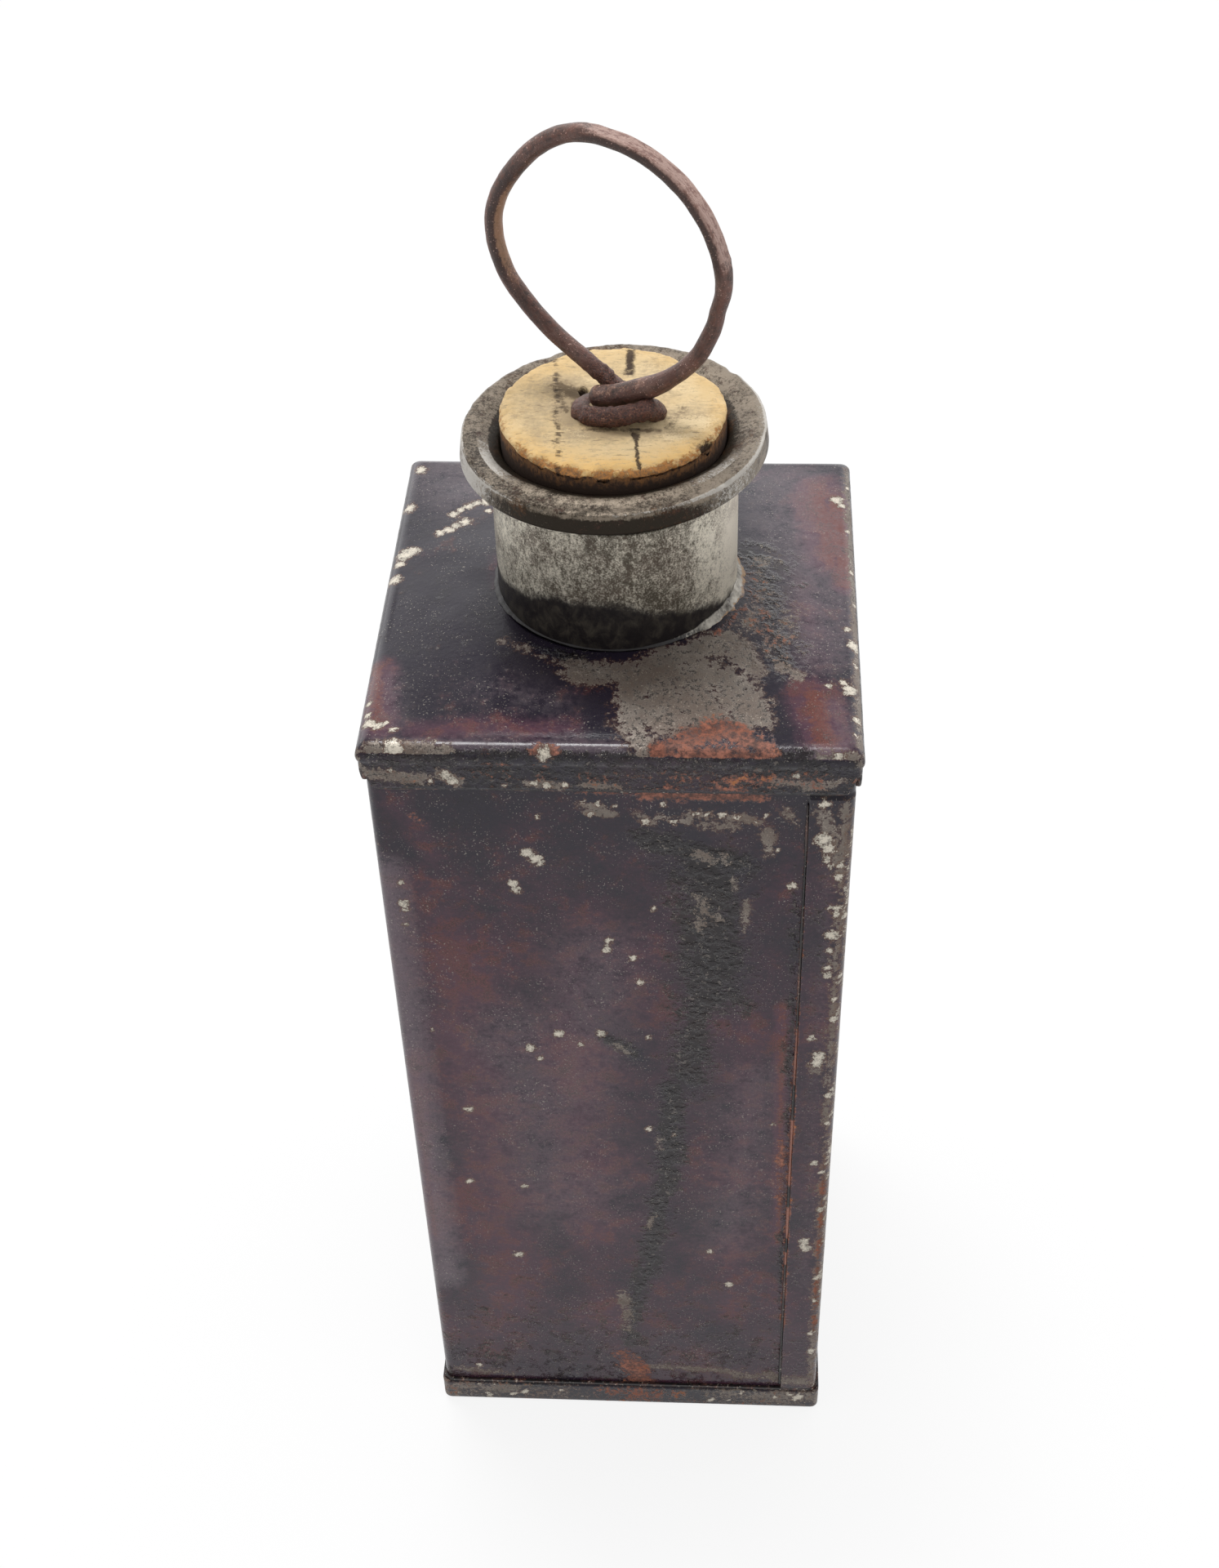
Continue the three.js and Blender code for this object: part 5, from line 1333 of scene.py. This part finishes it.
def wire_wear(off, across, outward, turn, land, onring, swollen):
    """Painted fields of the wire: rubbed where it faces out, with painted light where it faces up, shaded in
    front, tan inside the ring's left.

    The two ways across the section are kept too, so that the scale can run along the wire.
    """
    ring, land = onring[:, None], land[:, None]
    left = hump(turn % 360, 178, 36)[:, None] * ring
    upward = ease(0.2, 0.9, off[..., 2])
    # Worn: rubbed scale on the flat land and the ring's outer left, with painted light on faces turned up.
    worn = (0.12 * upward + 0.80 * land * ease(0.15, 0.5, outward) + 0.45 * left * ease(0.45, 0.85, outward)
            + 0.5 * swollen[:, None] * upward)
    shade = ring * ease(0.0, 0.5, across) * ease(0.45, 0.1, outward) * (0.35 + 0.65 * np.maximum(left, land))
    tan = left * ease(-0.34, -0.66, outward) * 0.8
    tan = np.maximum(tan, ease(0.20, 0.26, swollen)[:, None] * ease(0.0, 0.9, off[..., 2]) * 0.42)
    return {"worn": worn, "shade": shade * (1 - tan), "tan": tan, "across": across, "outward": outward}


# Floor and lamp, in metres, and the lamp's watts
FLOOR_HALF, FLOOR_BELOW = 3.0, 0.0002
LAMP_PLACE, LAMP_AIM = Vector((-0.12, 0.22, 0.98)), Vector((0, 0, 0.1))
LAMP_SIZE, LAMP_POWER = 0.28, 4.6
# Degrees up, round to the right and of roll; then millimetres back, to the right and up in the camera's own view
CAMERA_ANGLES = (42.823, 4.108, -1.962)
CAMERA_PLACE = (345.918, -4.409, 72.644)
FOCAL_PIXELS, FRAME_PIXELS, SENSOR_HEIGHT = 2704.5, 1920, 36


class TIN_OT_stage(bpy.types.Operator):
    """White floor, soft white surround and the camera"""

    bl_idname = "tin.stage"
    bl_label = "Stage"

    def execute(self, context):
        side = np.array([-FLOOR_HALF, FLOOR_HALF])
        across, along = np.meshgrid(side, side)
        corners = np.stack([across, along, 0 * across - FLOOR_BELOW], -1).reshape(-1, 3)
        sheet = bpy.data.meshes.new("floor")
        sheet.from_pydata(corners.tolist(), [], [(0, 1, 3, 2)])
        floor = bpy.data.objects.new("floor", sheet)
        context.scene.collection.objects.link(floor)
        material, n = blank_material("white_floor")
        path = n.add("ShaderNodeLightPath").socket.node.outputs
        seen, glossy, through = (Value(path[f"Is {ray} Ray"]) for ray in ("Camera", "Glossy", "Transmission"))
        seen = seen.over(glossy).over(through)
        cloth = n.add("ShaderNodeBsdfDiffuse", {}, {"Color": (0.88, 0.88, 0.885, 1)})
        white = n.add("ShaderNodeEmission", {}, {"Color": (1, 1, 1, 1), "Strength": 1.0})
        shown = n.add("ShaderNodeMixShader", {}, {0: seen * 0.86, 1: cloth, 2: white})
        n.add("ShaderNodeOutputMaterial", {}, {"Surface": shown})
        floor.data.materials.append(material)
        self.light(context.scene)
        self.aim(context.scene)
        return {"FINISHED"}

    def light(self, scene):
        """A white tent, brighter above and behind, darker on the camera's side; the camera sees it white."""
        world = bpy.data.worlds.new("white_tent")
        world.use_nodes = True
        world.node_tree.nodes.clear()
        n = Nodes(world.node_tree)
        x, y, z = n.axes(n.add("ShaderNodeTexCoord", output="Generated"))
        behind, sides = y.step(0.1, 0.75) * z.step(0.74, 0.48), abs(x).step(0.2, 0.9)
        glow = behind * 1.35 + sides * 0.30 + x.step(0.1, 0.9) * 0.20 + 0.52
        seen = Value(n.add("ShaderNodeLightPath").socket.node.outputs["Is Camera Ray"])
        tent = n.add("ShaderNodeBackground", {}, {"Color": (1, 1, 1, 1), "Strength": glow})
        white = n.add("ShaderNodeBackground", {}, {"Color": (1, 1, 1, 1), "Strength": 1.0})
        shown = n.add("ShaderNodeMixShader", {}, {0: seen, 1: tent, 2: white})
        n.add("ShaderNodeOutputWorld", {}, {"Surface": shown})
        scene.world = world
        scene.view_settings.view_transform = "Standard"
        light = bpy.data.lights.new("overhead_box", "AREA")
        light.size, light.energy = LAMP_SIZE, LAMP_POWER
        lamp = bpy.data.objects.new("overhead_box", light)
        lamp.location = LAMP_PLACE
        lamp.rotation_euler = (LAMP_AIM - LAMP_PLACE).to_track_quat("-Z", "Y").to_euler()
        scene.collection.objects.link(lamp)

    def aim(self, scene):
        """The camera as found from the tin's corners and rims, on a frame of 1493 by 1920."""
        rise, turn, roll = (math.radians(degrees) for degrees in CAMERA_ANGLES)
        back = Vector((math.sin(turn) * math.cos(rise), -math.cos(turn) * math.cos(rise), math.sin(rise)))
        level = Vector((math.cos(turn), math.sin(turn), 0))
        upright = back.cross(level)
        right = math.cos(roll) * level + math.sin(roll) * upright
        up = math.cos(roll) * upright - math.sin(roll) * level
        place = (back * CAMERA_PLACE[0] + right * CAMERA_PLACE[1] + up * CAMERA_PLACE[2]) / 1000
        lens = bpy.data.cameras.new("camera")
        lens.sensor_fit = "VERTICAL"
        lens.sensor_height = SENSOR_HEIGHT
        lens.lens = FOCAL_PIXELS / FRAME_PIXELS * SENSOR_HEIGHT
        lens.clip_start = 0.01
        camera = bpy.data.objects.new("camera", lens)
        camera.matrix_world = Matrix.Translation(place) @ Matrix((right, up, back)).transposed().to_4x4()
        scene.collection.objects.link(camera)
        scene.camera = camera


class TIN_OT_sheet(bpy.types.Operator):
    """Walls, shoulder and base pan of japanned sheet"""

    bl_idname = "tin.sheet"
    bl_label = "Japanned sheet"

    def execute(self, context):
        s = measures(context.scene.tin_sizes)
        japan = japan_finish(context.scene.tin_colours)
        settle(body_wall(s), "tin", "japanned_sheet", japan, "body_sheet")
        settle(shoulder(s), "tin", "japanned_sheet", japan, "shoulder_plate")
        settle(base_pan(s), "tin", "japanned_sheet", japan, "bottom_pan")
        return {"FINISHED"}


class TIN_OT_neck(bpy.types.Operator):
    """Bare tin neck"""

    bl_idname = "tin.neck"
    bl_label = "Neck"

    def execute(self, context):
        s = measures(context.scene.tin_sizes)
        settle(neck(s), "tin", "bare_tin", neck_finish(context.scene.tin_colours), "neck_tube")
        return {"FINISHED"}


class TIN_OT_lip(bpy.types.Operator):
    """Lip, a collar with a deep edge"""

    bl_idname = "tin.lip"
    bl_label = "Lip"

    def execute(self, context):
        s = measures(context.scene.tin_sizes)
        settle(lip(s), "tin", "dulled_lip", lip_finish(context.scene.tin_colours), "lip_ring")
        return {"FINISHED"}


class TIN_OT_solder(bpy.types.Operator):
    """Solder round the neck and along the seams"""

    bl_idname = "tin.solder"
    bl_label = "Solder"

    def execute(self, context):
        s = measures(context.scene.tin_sizes)
        bright = solder_finish(context.scene.tin_colours)
        dark = seam_finish(context.scene.tin_colours)
        settle(neck_fillet(s), "tin", "solder", bright, "neck_base_solder")
        settle(seam_bead(s), "tin", "solder", dark, "side_seam_solder")
        settle(flap_solder(s), "tin", "solder", dark, "shoulder_solder")
        for node, material in (("neck_seam_solder", bright), ("bottom_solder", dark)):
            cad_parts[node].data.materials.clear()
            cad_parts[node].data.materials.append(material)
        return {"FINISHED"}


class TIN_OT_cork(bpy.types.Operator):
    """Old cork"""

    bl_idname = "tin.cork"
    bl_label = "Cork"

    def execute(self, context):
        s, k = measures(context.scene.tin_sizes), measures(context.scene.stopper_sizes)
        settle(cork_plug(s, k), "stopper", "cork", cork_finish(context.scene.stopper_colours), "cork")
        return {"FINISHED"}


class TIN_OT_wire(bpy.types.Operator):
    """Finger-ring corkscrew of rusted wire"""

    bl_idname = "tin.wire"
    bl_label = "Ring wire"

    def execute(self, context):
        s, k = measures(context.scene.tin_sizes), measures(context.scene.stopper_sizes)
        rusted = wire_finish(context.scene.stopper_colours)
        settle(ring_wire(s, k), "stopper", "rusted_wire", rusted, "wire_corkscrew")
        return {"FINISHED"}


class TIN_PT_pieces(bpy.types.Panel):
    """Lists the tin's pieces"""

    bl_idname = "TIN_PT_pieces"
    bl_label = "Medicine tin"
    bl_space_type = "VIEW_3D"
    bl_region_type = "UI"
    bl_category = "Tin"

    def draw(self, context):
        for operator in OPERATORS:
            self.layout.operator(operator.bl_idname)


OPERATORS = (TIN_OT_stage, TIN_OT_sheet, TIN_OT_neck, TIN_OT_lip, TIN_OT_solder, TIN_OT_cork, TIN_OT_wire)
GROUPS = {"tin_sizes": TinSizes, "stopper_sizes": StopperSizes, "tin_colours": TinColours,
          "stopper_colours": StopperColours}


def register():
    for entry in (*GROUPS.values(), *OPERATORS, TIN_PT_pieces):
        bpy.utils.register_class(entry)
    for name, group in GROUPS.items():
        setattr(bpy.types.Scene, name, PointerProperty(type=group))


def unregister():
    for name in GROUPS:
        delattr(bpy.types.Scene, name)
    for entry in (TIN_PT_pieces, *reversed(OPERATORS), *reversed(GROUPS.values())):
        bpy.utils.unregister_class(entry)


def main():
    register()
    for operator in OPERATORS:
        group, name = operator.bl_idname.split(".")
        getattr(getattr(bpy.ops, group), name)()


if __name__ == "__main__":
    main()
